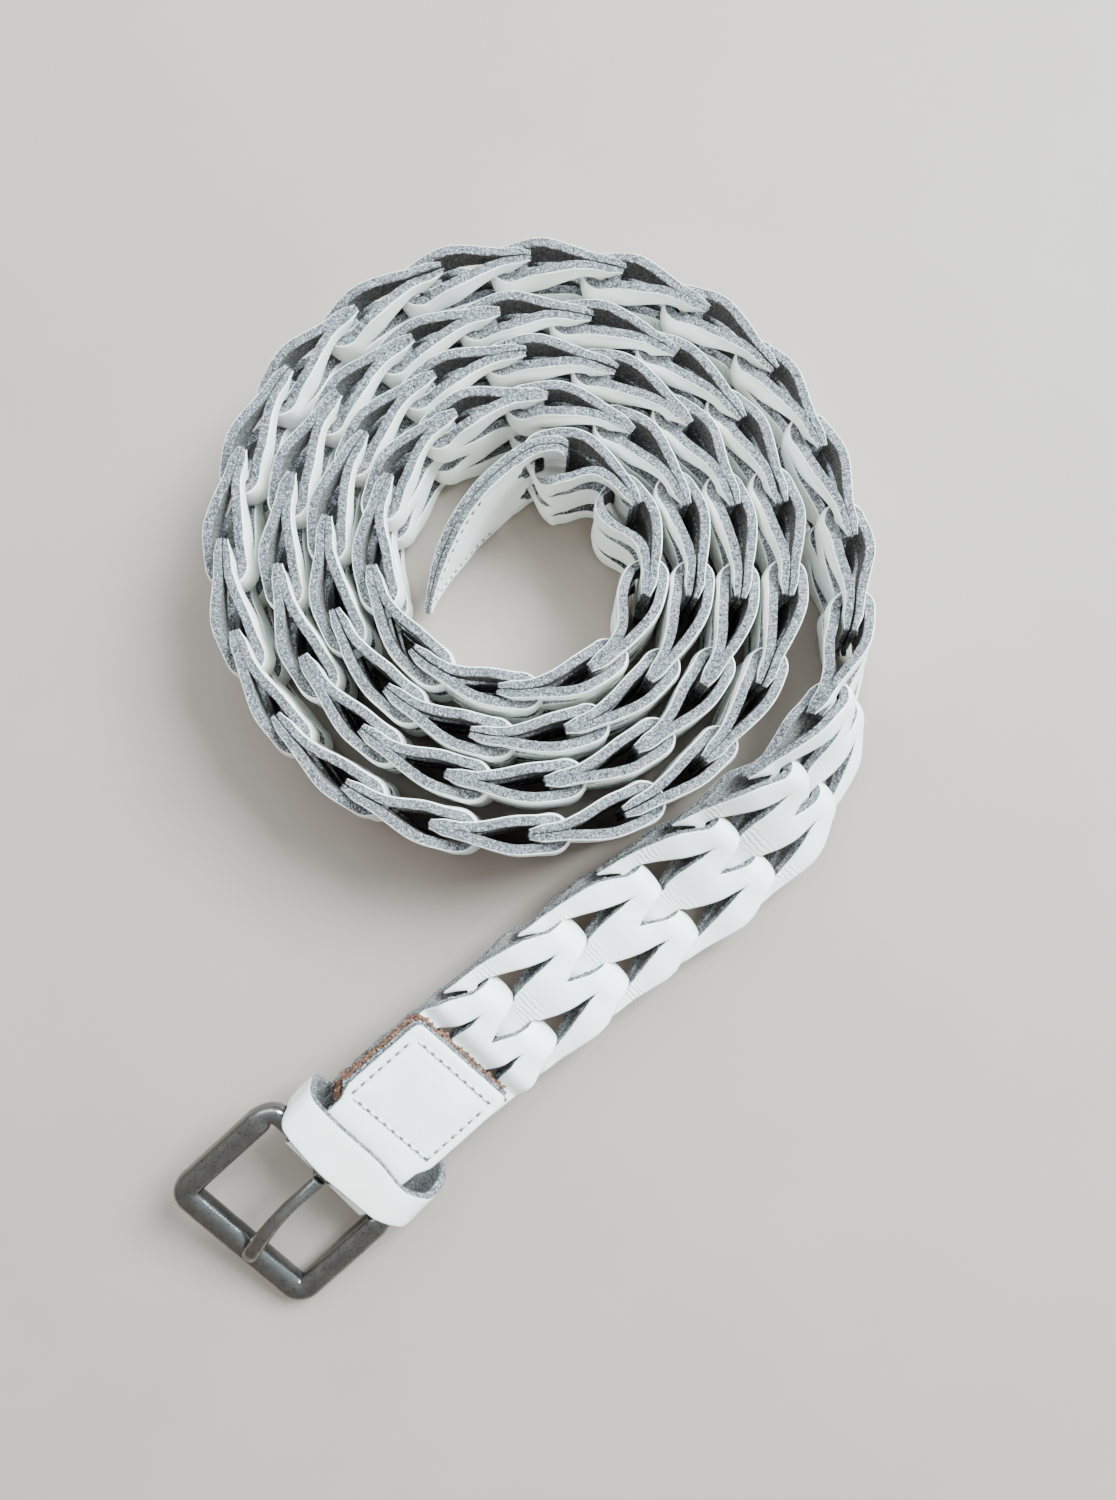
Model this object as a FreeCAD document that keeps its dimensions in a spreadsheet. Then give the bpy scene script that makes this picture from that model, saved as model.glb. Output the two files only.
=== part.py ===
import FreeCAD, Part
import Sketcher
import math
import os
from bisect import bisect_right

# A belt woven from folded leather links, wound up on its edge with the pointed tip inside.
# The buckle end leaves the coil, twists over and lies outer face up, leaning on one edge.
# Millimetres. X and Y lie on the floor, Z is up, and the coil's axis is the Z axis.

document = FreeCAD.newDocument("link_belt")
sheet = document.addObject("Spreadsheet::Sheet", "Sizes")

SIZES = {
    # the strap and its links
    "strap_width": 25.0,
    "leather": 2.0,
    "link_pitch": 18.0,
    "link_length": 22.4,
    "first_fold": 4.6,
    "link_total": 68,
    "snug_cavity": 2.2,
    "easy_cavity": 2.6,
    "tail_gap": 0.1,
    "slot_inner": 2.4,
    "slot_outer": 9.6,
    "head_inner": 2.8,
    "head_outer": 9.2,
    "crossbar_edge": 17.4,
    # the coil
    "coil_radius": 22.0,
    "turn_pitch": 8.7,
    "outer_turn_ease": 2.2,
    "coil_quarters": 16.87,
    "flat_rise": 1.6,
    "edge_lean": 16.0,
    # the pointed tip
    "tip_length": 36.0,
    "tip_ply": 1.4,
    # the buckle tab
    "tab_width": 23.2,
    "tab_leather": 1.6,
    "tab_length": 31.9,
    "fold_inner": 3.0,
    "bar_height": 6.35,
    "prong_slot": 5.0,
    "core_width": 24.0,
    # keeper, buckle and prong
    "keeper_inside": 29.6,
    "keeper_height": 10.4,
    "keeper_width": 9.0,
    "buckle_width": 36.2,
    "buckle_length": 28.5,
    "bar_width": 5.0,
    "back_bar_width": 4.5,
    "bar_thickness": 4.2,
    "prong_width": 3.4,
    "prong_reach": 24.2,
    # stitches
    "stitch_length": 1.5,
    "stitch_width": 0.5,
    "stitch_step": 2.1,
}
for row, (name, value) in enumerate(SIZES.items(), start=1):
    sheet.set("A%d" % row, name)
    sheet.set("B%d" % row, str(value))
    sheet.setAlias("B%d" % row, name)
document.recompute()


def size(name):
    return float(sheet.get(name))


WIDTH = size("strap_width")
HALF = WIDTH / 2
LEATHER = size("leather")
EASY_STACK = size("easy_cavity") + LEATHER
PITCH = size("link_pitch")
LINKS = int(size("link_total"))


# ---------------------------------------------------------------- the strap's centre line

def ease(u):
    u = min(max(u, 0.0), 1.0)
    return u * u * (3 - 2 * u)


def coil_radius(quarter):
    ring = size("coil_radius") + size("turn_pitch") * quarter / 4
    return ring + size("outer_turn_ease") * ease((quarter - 12.5) / 3.5)


def centre_line():
    """Plan points of the strap, the distance along it of each, and where it leaves the coil."""
    step = 0.25
    last_quarter = size("coil_quarters")
    quarter = 0.28
    points = []
    while quarter < last_quarter:
        angle = math.pi / 2 * (1 - quarter)
        r = coil_radius(quarter)
        points.append((r * math.cos(angle), r * math.sin(angle)))
        quarter += step / (r * math.pi / 2)
    leave = len(points) - 1
    # beyond the coil the curve straightens out
    x, y = points[-1]
    heading = math.atan2(y - points[-2][1], x - points[-2][0])
    along = 0.0
    while along < 256:
        turn = 1 / coil_radius(last_quarter) * (1 - 0.19 * ease(along / 44)) * (1 - ease((along - 44) / 72))
        heading -= turn * step
        x += step * math.cos(heading)
        y += step * math.sin(heading)
        along += step
        points.append((x, y))
    # while it twists the strap swings clear of the coil
    swung = []
    for i, (x, y) in enumerate(points):
        before = points[max(i - 1, 0)]
        after = points[min(i + 1, len(points) - 1)]
        tx, ty = after[0] - before[0], after[1] - before[1]
        length = math.hypot(tx, ty)
        u = ((i - leave) * step + 10) / 117
        swing = 5.6 * math.sin(math.pi * u) ** 2 if 0 < u < 1 else 0.0
        swung.append((x - ty / length * swing, y + tx / length * swing))
    # the free tip bends inwards, away from the first turn
    x, y = swung[0]
    heading = math.atan2(y - swung[1][1], x - swung[1][0])
    tip = []
    along = 0.0
    while along < 52:
        turn = 0.097 if along < 10 else 0.022
        heading += turn * step
        x += step * math.cos(heading)
        y += step * math.sin(heading)
        along += step
        tip.append((x, y))
    points = tip[::-1] + swung
    distance = [0.0]
    for a, b in zip(points, points[1:]):
        distance.append(distance[-1] + math.hypot(b[0] - a[0], b[1] - a[1]))
    start = distance[len(tip)] - 10.0
    distance = [d - start for d in distance]
    return points, distance, distance[len(tip) + leave]


POINTS, DISTANCE, LEAVE = centre_line()
TWIST_START = LEAVE + 5
TWIST_END = LEAVE + 99


def plan_point(s):
    i = min(max(bisect_right(DISTANCE, s) - 1, 0), len(POINTS) - 2)
    u = (s - DISTANCE[i]) / (DISTANCE[i + 1] - DISTANCE[i])
    x = POINTS[i][0] + u * (POINTS[i + 1][0] - POINTS[i][0])
    y = POINTS[i][1] + u * (POINTS[i + 1][1] - POINTS[i][1])
    return x, y


def direction(s):
    ax, ay = plan_point(s - 0.8)
    bx, by = plan_point(s + 0.8)
    length = math.hypot(bx - ax, by - ay)
    return (bx - ax) / length, (by - ay) / length


def twist(s):
    """How far the strap has turned over; it stops a little short of lying flat."""
    full = math.radians(90 - size("edge_lean"))
    return full * ease((s - TWIST_START) / (TWIST_END - TWIST_START))


def lean(s):
    """How far the links are skewed in their own plane, as a slope."""
    return 0.12 * ease((s - TWIST_START - 15) / 60)


def belt_axes(s):
    """Centre, outer-face direction and (leaning) width direction of the strap at a distance s."""
    x, y = plan_point(s)
    tx, ty = direction(s)
    angle = twist(s)
    c, n = math.cos(angle), math.sin(angle)
    height = HALF * c + EASY_STACK * n + size("flat_rise") * ease((s - TWIST_END + 10) / 42)
    outward = FreeCAD.Vector(-ty * c, tx * c, n)
    across = FreeCAD.Vector(ty * n, -tx * n, c) + FreeCAD.Vector(tx, ty, 0) * lean(s)
    return FreeCAD.Vector(x, y, height), outward, across


def belt_point(s, out, wide):
    """The point at distance s, 'out' from the middle of the thickness, 'wide' from the middle
    of the width."""
    centre, outward, across = belt_axes(s)
    return centre + outward * out + across * wide


# ---------------------------------------------------------------- one folded link

def half_gap(x, cavity, open_to, closed_at):
    """Half the space between a link's two layers, x from its fold towards the next link."""
    return size("tail_gap") + (cavity - size("tail_gap")) * ease((closed_at - x) / (closed_at - open_to))


def hairpin(cavity, open_to, closed_at, offset):
    """Side view of one surface of the folded leather, from one cut end round to the other."""
    length = size("link_length")
    straight = [length, 20.0, 17.4, 15.8, 14.0, 12.0, 10.0, 8.0, 6.5, 5.2, 3.4, 1.7, 0.0]
    near = [(x, half_gap(x, cavity, open_to, closed_at) + offset) for x in straight]
    radius = cavity + offset
    bend = []
    for step in range(1, 8):
        angle = math.pi * step / 8
        bend.append((-radius * math.sin(angle), radius * math.cos(angle)))
    far = [(x, -y) for x, y in reversed(near)]
    return near + bend + far


def cutter(fold, sections):
    """A tapering bar through both layers; each section is (x, narrow edge, wide edge)."""
    wires = []
    for x, low, high in sections:
        s = fold + x
        corners = [(-6.5, low), (-6.5, high), (6.5, high), (6.5, low), (-6.5, low)]
        wires.append(Part.makePolygon([belt_point(s, out, wide) for out, wide in corners]))
    return Part.makeLoft(wires, True, True)


def side_slot(fold, side):
    """The opening the next link's head comes through: square at the crossbar, pointed at the fold."""
    edge = size("crossbar_edge")
    low, high = size("slot_inner"), size("slot_outer")
    sections = []
    for x in (edge, 15.0, 12.6, 9.8, 7.0, 4.2, 1.5):
        close = ease(0.5 + 0.5 * (12.6 - x) / 11.1) * 2 - 1 if x < 12.6 else 0.0
        a = low + (5.3 - low) * close
        b = high - (high - 5.7) * close
        sections.append((x, side * a, side * b))
    return cutter(fold, sections)


def head_notch(fold):
    """The notch between the two heads, where the neighbour's middle leg passes."""
    half = size("head_inner")
    sections = []
    for x, share in ((-6.0, 1.0), (-3.0, 1.0), (-0.6, 1.0), (1.8, 0.55), (4.2, 0.06)):
        sections.append((x, -half * share, half * share))
    return cutter(fold, sections)


def head_corner(fold, side):
    """The rounded shoulder outside a head, where the neighbour's outer leg passes."""
    outer = size("head_outer")
    sections = []
    for x, rise in ((-6.0, 0.0), (-2.0, 0.0), (-0.4, 0.0), (1.6, 0.8), (3.6, 1.9), (5.8, 3.4)):
        sections.append((x, side * (outer + rise), side * 14.0))
    return cutter(fold, sections)


def link_solid(index):
    fold = size("first_fold") + PITCH * index
    cavity = size("easy_cavity") if index >= 50 else size("snug_cavity")
    # the last link closes early, so the tab can grip it
    open_to, closed_at = (4.8, 9.2) if index == LINKS - 1 else (5.2, 16.4)
    inner = hairpin(cavity, open_to, closed_at, 0.0)
    outer = hairpin(cavity, open_to, closed_at, LEATHER)
    if fold + size("link_length") < TWIST_START:
        # still on edge: one plan outline raised to the strap's width
        outside = Part.BSplineCurve()
        outside.interpolate([belt_point(fold + x, y, -HALF) for x, y in outer])
        inside = Part.BSplineCurve()
        inside.interpolate([belt_point(fold + x, y, -HALF) for x, y in reversed(inner)])
        ends = [
            Part.LineSegment(outside.EndPoint, inside.StartPoint),
            Part.LineSegment(inside.EndPoint, outside.StartPoint),
        ]
        wire = Part.Wire([outside.toShape(), ends[0].toShape(), inside.toShape(), ends[1].toShape()])
        body = Part.Face(wire).extrude(FreeCAD.Vector(0, 0, WIDTH))
    else:
        wires = []
        for (xi, yi), (xo, yo) in zip(inner, outer):
            corners = [
                belt_point(fold + xi, yi, -HALF),
                belt_point(fold + xi, yi, HALF),
                belt_point(fold + xo, yo, HALF),
                belt_point(fold + xo, yo, -HALF),
            ]
            wires.append(Part.makePolygon(corners + corners[:1]))
        body = Part.makeLoft(wires, True, True)
    tools = [side_slot(fold, 1), side_slot(fold, -1), head_notch(fold)]
    tools += [head_corner(fold, 1), head_corner(fold, -1)]
    solid = body.cut(tools)
    return solid.Solids[0] if len(solid.Solids) == 1 else solid


def add_shape(name, shape, placement):
    """A custom solid, kept in its own frame and set where it belongs."""
    item = document.addObject("Part::Feature", name)
    item.Label = name
    item.Shape = shape.transformed(placement.inverse().toMatrix(), True)
    item.Placement = placement
    return item


def belt_placement(s):
    """A frame on the strap: X along it towards the buckle, Z in its width direction."""
    tx, ty = direction(s)
    x, y = plan_point(s)
    return FreeCAD.Placement(
        FreeCAD.Vector(x, y, 0), FreeCAD.Rotation(FreeCAD.Vector(0, 0, 1), math.degrees(math.atan2(ty, tx)))
    )


PARTS = []

# the links: singly at both ends of the strap, in pairs where the coil holds them
groups = [[k] for k in range(6)] + [[k, k + 1] for k in range(6, 50, 2)] + [[k] for k in range(50, LINKS)]
for group in groups:
    name = "link_%02d" % group[0] if len(group) == 1 else "links_%02d_%02d" % tuple(group)
    solids = [link_solid(k) for k in group]
    shape = solids[0] if len(solids) == 1 else Part.makeCompound(solids)
    PARTS.append(add_shape(name, shape, belt_placement(size("first_fold") + PITCH * group[0])))


# ---------------------------------------------------------------- the pointed tip

TIP_TAIL = size("first_fold") + 4.4
TIP_POINT = -size("tip_length")


def tip_half_width(s):
    if s > -9:
        return HALF
    u = (-9 - s) / (-9 - TIP_POINT)
    return 0.5 + (HALF - 0.5) * (1 - u ** 1.5)


def tip_ply(inside, outside):
    stations = [TIP_TAIL, 7, 5, 3, 1, -1, -2.5, -4, -6, -9, -12, -15, -18, -21, -24, -27, -30, -33, TIP_POINT]
    wires = []
    for s in stations:
        half = tip_half_width(s)
        corners = [(inside, -half), (inside, half), (outside, half), (outside, -half), (inside, -half)]
        wires.append(Part.makePolygon([belt_point(s, out, wide) for out, wide in corners]))
    ply = Part.makeLoft(wires, True, True)
    fold = TIP_TAIL - size("link_length")
    ply = ply.cut([side_slot(fold, 1), side_slot(fold, -1)])
    return ply.Solids[0]


def stitch(corner, along, sideways, upwards):
    """One thread pass: a small bar half sunk into the leather."""
    length, width = size("stitch_length"), size("stitch_width")
    a = corner - along * (length / 2) - sideways * (width / 2) - upwards * 0.3
    base = [a, a + along * length, a + along * length + sideways * width, a + sideways * width]
    face = Part.Face(Part.makePolygon(base + base[:1]))
    return face.extrude(upwards * 0.5)


gap = size("tail_gap")
ply = size("tip_ply")
tip_frame = belt_placement(-10)
PARTS.append(add_shape("tip_front", tip_ply(-gap - ply, -gap), tip_frame))
PARTS.append(add_shape("tip_back", tip_ply(gap, gap + ply), tip_frame))

threads = []
s = -32.0
while s < -12:
    for side in (1, -1):
        for face in (1, -1):
            here = belt_point(s, face * (gap + ply), side * (tip_half_width(s) - 1.7))
            there = belt_point(s + 1, face * (gap + ply), side * (tip_half_width(s + 1) - 1.7))
            along = (there - here).normalize()
            outward = belt_axes(s)[1] * face
            threads.append(stitch(here, along, outward.cross(along).normalize(), outward))
    s += size("stitch_step")
PARTS.append(add_shape("tip_stitching", Part.makeCompound(threads), tip_frame))


# ---------------------------------------------------------------- the buckle end

LAST_FOLD = size("first_fold") + PITCH * (LINKS - 1)
tab_centre = belt_axes(LAST_FOLD + 10.5)[0]
tab_t = direction(LAST_FOLD)
tab_turn = math.degrees(math.atan2(tab_t[1], tab_t[0]))


def turned(x, y, z, axis, angle):
    return FreeCAD.Placement(FreeCAD.Vector(x, y, z), FreeCAD.Rotation(FreeCAD.Vector(*axis), angle))


# tab frame: X towards the buckle, Y towards the strap's lower edge, Z out of the outer face;
# the strap's middle is at Z = 5.6
TAB = turned(tab_centre.x, tab_centre.y, tab_centre.z, (0, 0, 1), tab_turn)
TAB = TAB.multiply(turned(0, 0, 0, (1, 0, 0), -size("edge_lean")))
TAB = TAB.multiply(turned(0, -0.8, -5.6, (0, 0, 1), 3))


def box(name, length, width, height, x, y, z):
    """A box whose sides are formulas on the size sheet."""
    item = document.addObject("Part::Box", name)
    item.setExpression("Length", length)
    item.setExpression("Width", width)
    item.setExpression("Height", height)
    item.setExpression("Placement.Base.x", x)
    item.setExpression("Placement.Base.y", y)
    item.setExpression("Placement.Base.z", z)
    return item


def cross_cylinder(name, radius, width):
    """A half cylinder lying across the strap at the bar, bulging towards the buckle."""
    item = document.addObject("Part::Cylinder", name)
    item.setExpression("Radius", radius)
    item.setExpression("Height", width)
    item.Angle = 180
    item.Placement = turned(0, 0, 0, (1, 0, 0), 90)
    item.Placement.Rotation = item.Placement.Rotation.multiply(FreeCAD.Rotation(FreeCAD.Vector(0, 0, 1), -90))
    item.setExpression("Placement.Base.x", "Sizes.tab_length")
    item.setExpression("Placement.Base.y", width + " / 2")
    item.setExpression("Placement.Base.z", "Sizes.bar_height")
    return item


# the tab: one strip folded round the buckle's bar, slotted for the prong
tab_width = "Sizes.tab_width"
half_tab = "-Sizes.tab_width / 2"
outer_fold = "Sizes.fold_inner + Sizes.tab_leather"
upper = box("upper_ply", "Sizes.tab_length + 1.2", tab_width, "Sizes.tab_leather",
            "-1.2", half_tab, "Sizes.bar_height + Sizes.fold_inner")
lower = box("lower_ply", "Sizes.tab_length + 1.2", tab_width, "Sizes.tab_leather",
            "-1.2", half_tab, "Sizes.bar_height - Sizes.fold_inner - Sizes.tab_leather")
wrap = cross_cylinder("wrap_outside", outer_fold, tab_width)
hollow = cross_cylinder("wrap_inside", "Sizes.fold_inner", "(Sizes.tab_width + 2)")
fold_ring = document.addObject("Part::Cut", "fold_ring")
fold_ring.Base = wrap
fold_ring.Tool = hollow
strip = document.addObject("Part::MultiFuse", "folded_strip")
strip.Shapes = [upper, lower, fold_ring]
slot = box("prong_opening", "13", "Sizes.prong_slot", "20",
           "Sizes.tab_length - 7", "-Sizes.prong_slot / 2 - 0.9", "0")
# the mouth is cut a few degrees off square, like the heads of the links it grips
skew = math.radians(5)
trim = box("mouth_trim", "6", "35", "20", "-4.45", "-17.95", "0")
trim.Placement.Rotation = FreeCAD.Rotation(FreeCAD.Vector(0, 0, 1), math.degrees(skew))
cutters = document.addObject("Part::MultiFuse", "tab_cutters")
cutters.Shapes = [slot, trim]
slotted = document.addObject("Part::Cut", "slotted_strip")
slotted.Base = strip
slotted.Tool = cutters
document.recompute()
corners = []
for number, edge in enumerate(slotted.Shape.Edges, start=1):
    box_of_edge = edge.BoundBox
    if box_of_edge.XMax < 1.5 and box_of_edge.ZLength > 1 and box_of_edge.YLength < 0.01:
        corners.append((number, 3.0, 3.0))
tab = document.addObject("Part::Fillet", "buckle_tab")
tab.Base = slotted
tab.Edges = corners
tab.Placement = TAB
tab.Label = "buckle_tab"
PARTS.append(tab)

# the filler between the plies: a sheet over the last link's ends and a block behind them
sheet_layer = box("core_sheet", "Sizes.tab_length - 7.2", "Sizes.core_width", "1.35",
                  "-0.6", "-Sizes.core_width / 2 - 0.9", "Sizes.bar_height + Sizes.fold_inner - 1.4")
block = box("core_block", "8.1", "Sizes.core_width - 1.6", "4.4",
            "15.0", "-Sizes.core_width / 2 - 0.3", "Sizes.bar_height - Sizes.fold_inner + 0.05")
core = document.addObject("Part::MultiFuse", "tab_core")
core.Shapes = [sheet_layer, block]
core.Placement = TAB
core.Label = "tab_core"
PARTS.append(core)

# stitching round the pad, on both plies
threads = []
top = size("bar_height") + size("fold_inner") + size("tab_leather")
bottom = size("bar_height") - size("fold_inner") - size("tab_leather")
X, Y, Z = FreeCAD.Vector(1, 0, 0), FreeCAD.Vector(0, 1, 0), FreeCAD.Vector(0, 0, 1)
slant = FreeCAD.Vector(-math.sin(skew), math.cos(skew), 0)
square = FreeCAD.Vector(math.cos(skew), math.sin(skew), 0)
step = size("stitch_step")
for height, up in ((top, Z), (bottom, Z * -1)):
    for x, y in ((3.1, -10.0), (2.2, 9.6)):
        for i in range(7):
            threads.append(stitch(FreeCAD.Vector(x + 1.1 + step * i, y, height), X, Y, up))
    for x in (2.5, 18.3):
        for i in range(9):
            across = step * (i - 4) - 0.2
            threads.append(stitch(FreeCAD.Vector(x, 0, height) + slant * across, slant, square, up))
seam = document.addObject("Part::Feature", "tab_stitching")
seam.Shape = Part.makeCompound(threads)
seam.Placement = TAB
seam.Label = "tab_stitching"
PARTS.append(seam)


# ---------------------------------------------------------------- sketched solids

def new_body(name):
    body = document.addObject("PartDesign::Body", name)
    body.Label = name
    document.recompute()
    return body


def new_sketch(body, name, plane):
    sketch = body.newObject("Sketcher::SketchObject", name)
    base = [f for f in body.Origin.OriginFeatures if f.Role == plane][0]
    sketch.AttachmentSupport = [(base, "")]
    sketch.MapMode = "FlatFace"
    return sketch


def rectangle(sketch, behind, below, length, height):
    """Four lines; 'behind' and 'below' are how far the first corner is from the origin."""
    first = sketch.GeometryCount
    points = [(-9, -9), (9, -9), (9, 9), (-9, 9), (-9, -9)]
    for (ax, ay), (bx, by) in zip(points, points[1:]):
        sketch.addGeometry(Part.LineSegment(FreeCAD.Vector(ax, ay, 0), FreeCAD.Vector(bx, by, 0)), False)
    for n in range(4):
        sketch.addConstraint(Sketcher.Constraint("Coincident", first + n, 2, first + (n + 1) % 4, 1))
    sketch.addConstraint(Sketcher.Constraint("Horizontal", first))
    sketch.addConstraint(Sketcher.Constraint("Horizontal", first + 2))
    sketch.addConstraint(Sketcher.Constraint("Vertical", first + 1))
    sketch.addConstraint(Sketcher.Constraint("Vertical", first + 3))
    dimensions = [
        (Sketcher.Constraint("DistanceX", first, 1, -1, 1, 9.0), behind),
        (Sketcher.Constraint("DistanceY", first, 1, -1, 1, 9.0), below),
        (Sketcher.Constraint("DistanceX", first, 1, first, 2, 18.0), length),
        (Sketcher.Constraint("DistanceY", first + 1, 1, first + 1, 2, 18.0), height),
    ]
    for constraint, formula in dimensions:
        number = sketch.addConstraint(constraint)
        sketch.setExpression("Constraints[%d]" % number, formula)


def pad_both_ways(body, name, sketch, length):
    pad = body.newObject("PartDesign::Pad", name)
    pad.Profile = sketch
    pad.Midplane = True
    pad.setExpression("Length", length)
    document.recompute()
    return pad


def round_edges(body, name, feature, wanted, radius):
    """Fillet the edges that 'wanted' picks out."""
    picked = []
    for number, edge in enumerate(feature.Shape.Edges, start=1):
        if wanted(edge.BoundBox):
            picked.append("Edge%d" % number)
    fillet = body.newObject("PartDesign::Fillet", name)
    fillet.Base = (feature, picked)
    fillet.Radius = radius
    document.recompute()
    return fillet


# the keeper: a loop of leather round the tab, a little askew
keeper = new_body("keeper_loop")
ring = new_sketch(keeper, "keeper_ring", "YZ_Plane")
leather = "Sizes.tab_leather"
rectangle(ring, "Sizes.keeper_inside / 2 + " + leather, "Sizes.keeper_height / 2 + " + leather,
          "Sizes.keeper_inside + 2 * " + leather, "Sizes.keeper_height + 2 * " + leather)
rectangle(ring, "Sizes.keeper_inside / 2", "Sizes.keeper_height / 2",
          "Sizes.keeper_inside", "Sizes.keeper_height")
loop = pad_both_ways(keeper, "keeper_pad", ring, "Sizes.keeper_width")


def keeper_outer_corner(b):
    return b.XLength > 5 and b.YLength < 0.01 and abs(abs(b.YMax) - 16.4) < 0.1


def keeper_inner_corner(b):
    return b.XLength > 5 and b.YLength < 0.01 and abs(abs(b.YMax) - 14.8) < 0.1


loop = round_edges(keeper, "keeper_outer_bend", loop, keeper_outer_corner, 4.4)
loop = round_edges(keeper, "keeper_inner_bend", loop, keeper_inner_corner, 2.9)
keeper_middle = size("tab_leather") + size("keeper_height") / 2 - 0.1
keeper.Placement = TAB.multiply(turned(24.3, 0.6, keeper_middle, (0, 0, 1), 4))
PARTS.append(keeper)

# the buckle: a rectangle of rounded bar; its frame has the back bar's centre as origin
BUCKLE = TAB.multiply(turned(size("tab_length"), -1.15, size("bar_height"), (0, 0, 1), 3))
BUCKLE = BUCKLE.multiply(turned(0, 0, 0, (0, 1, 0), 6.5))
frame = new_body("buckle_frame")
outline = new_sketch(frame, "buckle_outline", "XY_Plane")
bar = "Sizes.bar_width"
back = "Sizes.back_bar_width"
rectangle(outline, back + " / 2", "Sizes.buckle_width / 2", "Sizes.buckle_length", "Sizes.buckle_width")
rectangle(outline, "-" + back + " / 2", "Sizes.buckle_width / 2 - " + bar,
          "Sizes.buckle_length - %s - %s" % (bar, back), "Sizes.buckle_width - 2 * " + bar)
bars = pad_both_ways(frame, "buckle_bars", outline, "Sizes.bar_thickness")


def upright(b):
    return b.XLength < 0.01 and b.YLength < 0.01 and abs(b.YMax) > 18


def lying(b):
    return b.ZLength < 0.01


bars = round_edges(frame, "buckle_corners", bars, upright, 3.8)
bars = round_edges(frame, "buckle_rounding", bars, lying, 1.65)
frame.Placement = BUCKLE
PARTS.append(frame)

# the prong: an eye round the back bar and an arm that rests on the front bar
prong = new_body("buckle_prong")
eye = new_sketch(prong, "prong_eye", "XZ_Plane")
for radius in (4.3, 2.75):
    eye.addGeometry(Part.Circle(FreeCAD.Vector(0, 0, 0), FreeCAD.Vector(0, 0, 1), radius), False)
    circle = eye.GeometryCount - 1
    eye.addConstraint(Sketcher.Constraint("Coincident", circle, 3, -1, 1))
    eye.addConstraint(Sketcher.Constraint("Radius", circle, radius))
pad_both_ways(prong, "prong_eye_pad", eye, "Sizes.prong_width")
arm = new_sketch(prong, "prong_arm", "XZ_Plane")
reach = size("prong_reach")
profile = [(2.2, 3.6), (6.5, 4.9), (12.0, 5.5), (18.0, 5.3), (22.2, 4.6), (reach, 3.1), (23.9, 2.35),
           (22.5, 2.3), (20.0, 2.5), (17.0, 3.0), (12.0, 3.1), (7.5, 2.5), (4.0, 1.0)]
for i, (x, z) in enumerate(profile):
    nx, nz = profile[(i + 1) % len(profile)]
    arm.addGeometry(Part.LineSegment(FreeCAD.Vector(x, z, 0), FreeCAD.Vector(nx, nz, 0)), False)
for i in range(len(profile)):
    arm.addConstraint(Sketcher.Constraint("Coincident", i, 2, (i + 1) % len(profile), 1))
number = arm.addConstraint(Sketcher.Constraint("DistanceX", -1, 1, 5, 1, reach))
arm.setExpression("Constraints[%d]" % number, "Sizes.prong_reach")
pad_both_ways(prong, "prong_arm_pad", arm, "Sizes.prong_width")
prong.Placement = BUCKLE.multiply(turned(0, 0.25, 0, (0, 0, 1), 4.5))
PARTS.append(prong)


# ---------------------------------------------------------------- check and write

document.recompute()
for item in document.Objects:
    if "Invalid" in item.State or "Error" in item.State:
        raise RuntimeError("%s did not build" % item.Label)
os.makedirs("parts", exist_ok=True)
for item in PARTS:
    if item.Shape.isNull() or not item.Shape.isValid():
        raise RuntimeError("%s is not a sound solid" % item.Label)
    item.Shape.exportStep("parts/%s.step" % item.Label)
    print(item.Label, len(item.Shape.Solids), round(item.Shape.Volume, 1))
print(len(PARTS), "parts")
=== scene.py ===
import math

import bmesh
import bpy
import numpy as np
from mathutils import Matrix, Vector
from mathutils.geometry import delaunay_2d_cdt


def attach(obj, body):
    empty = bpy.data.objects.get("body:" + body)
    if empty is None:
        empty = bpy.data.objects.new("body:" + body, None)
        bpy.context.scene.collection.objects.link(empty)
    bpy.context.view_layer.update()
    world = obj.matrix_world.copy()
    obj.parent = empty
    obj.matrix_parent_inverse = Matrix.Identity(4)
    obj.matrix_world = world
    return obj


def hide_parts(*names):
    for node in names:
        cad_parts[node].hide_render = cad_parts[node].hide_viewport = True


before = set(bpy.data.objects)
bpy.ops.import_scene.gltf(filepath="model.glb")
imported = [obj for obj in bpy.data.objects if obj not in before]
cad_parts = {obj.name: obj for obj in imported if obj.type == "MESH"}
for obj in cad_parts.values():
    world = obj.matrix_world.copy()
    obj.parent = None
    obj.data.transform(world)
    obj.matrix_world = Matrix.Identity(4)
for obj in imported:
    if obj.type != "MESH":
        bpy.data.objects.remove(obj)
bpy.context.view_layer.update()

# All shapes are worked out in millimetres and turned into metres when a mesh is made.
MM = 0.001
WIDTH = 25.0
LEATHER = 2.0
PITCH = 18.0
LINK_LENGTH = 22.4
FIRST_FOLD = 4.6
LINKS = 68
SNUG, EASY = 2.0, 2.45
EASY_FROM = 50
LOOSE_FROM = 53
FLAT_TWIST = 74.0
FLAT_RISE = 1.6


# ---------------- the strap's centre line

def ease(u):
    u = np.clip(u, 0.0, 1.0)
    return u * u * (3 - 2 * u)


def coil_radius(quarter):
    return 22.0 + 8.7 * quarter / 4 + 2.2 * float(ease((quarter - 12.5) / 3.5))


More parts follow.
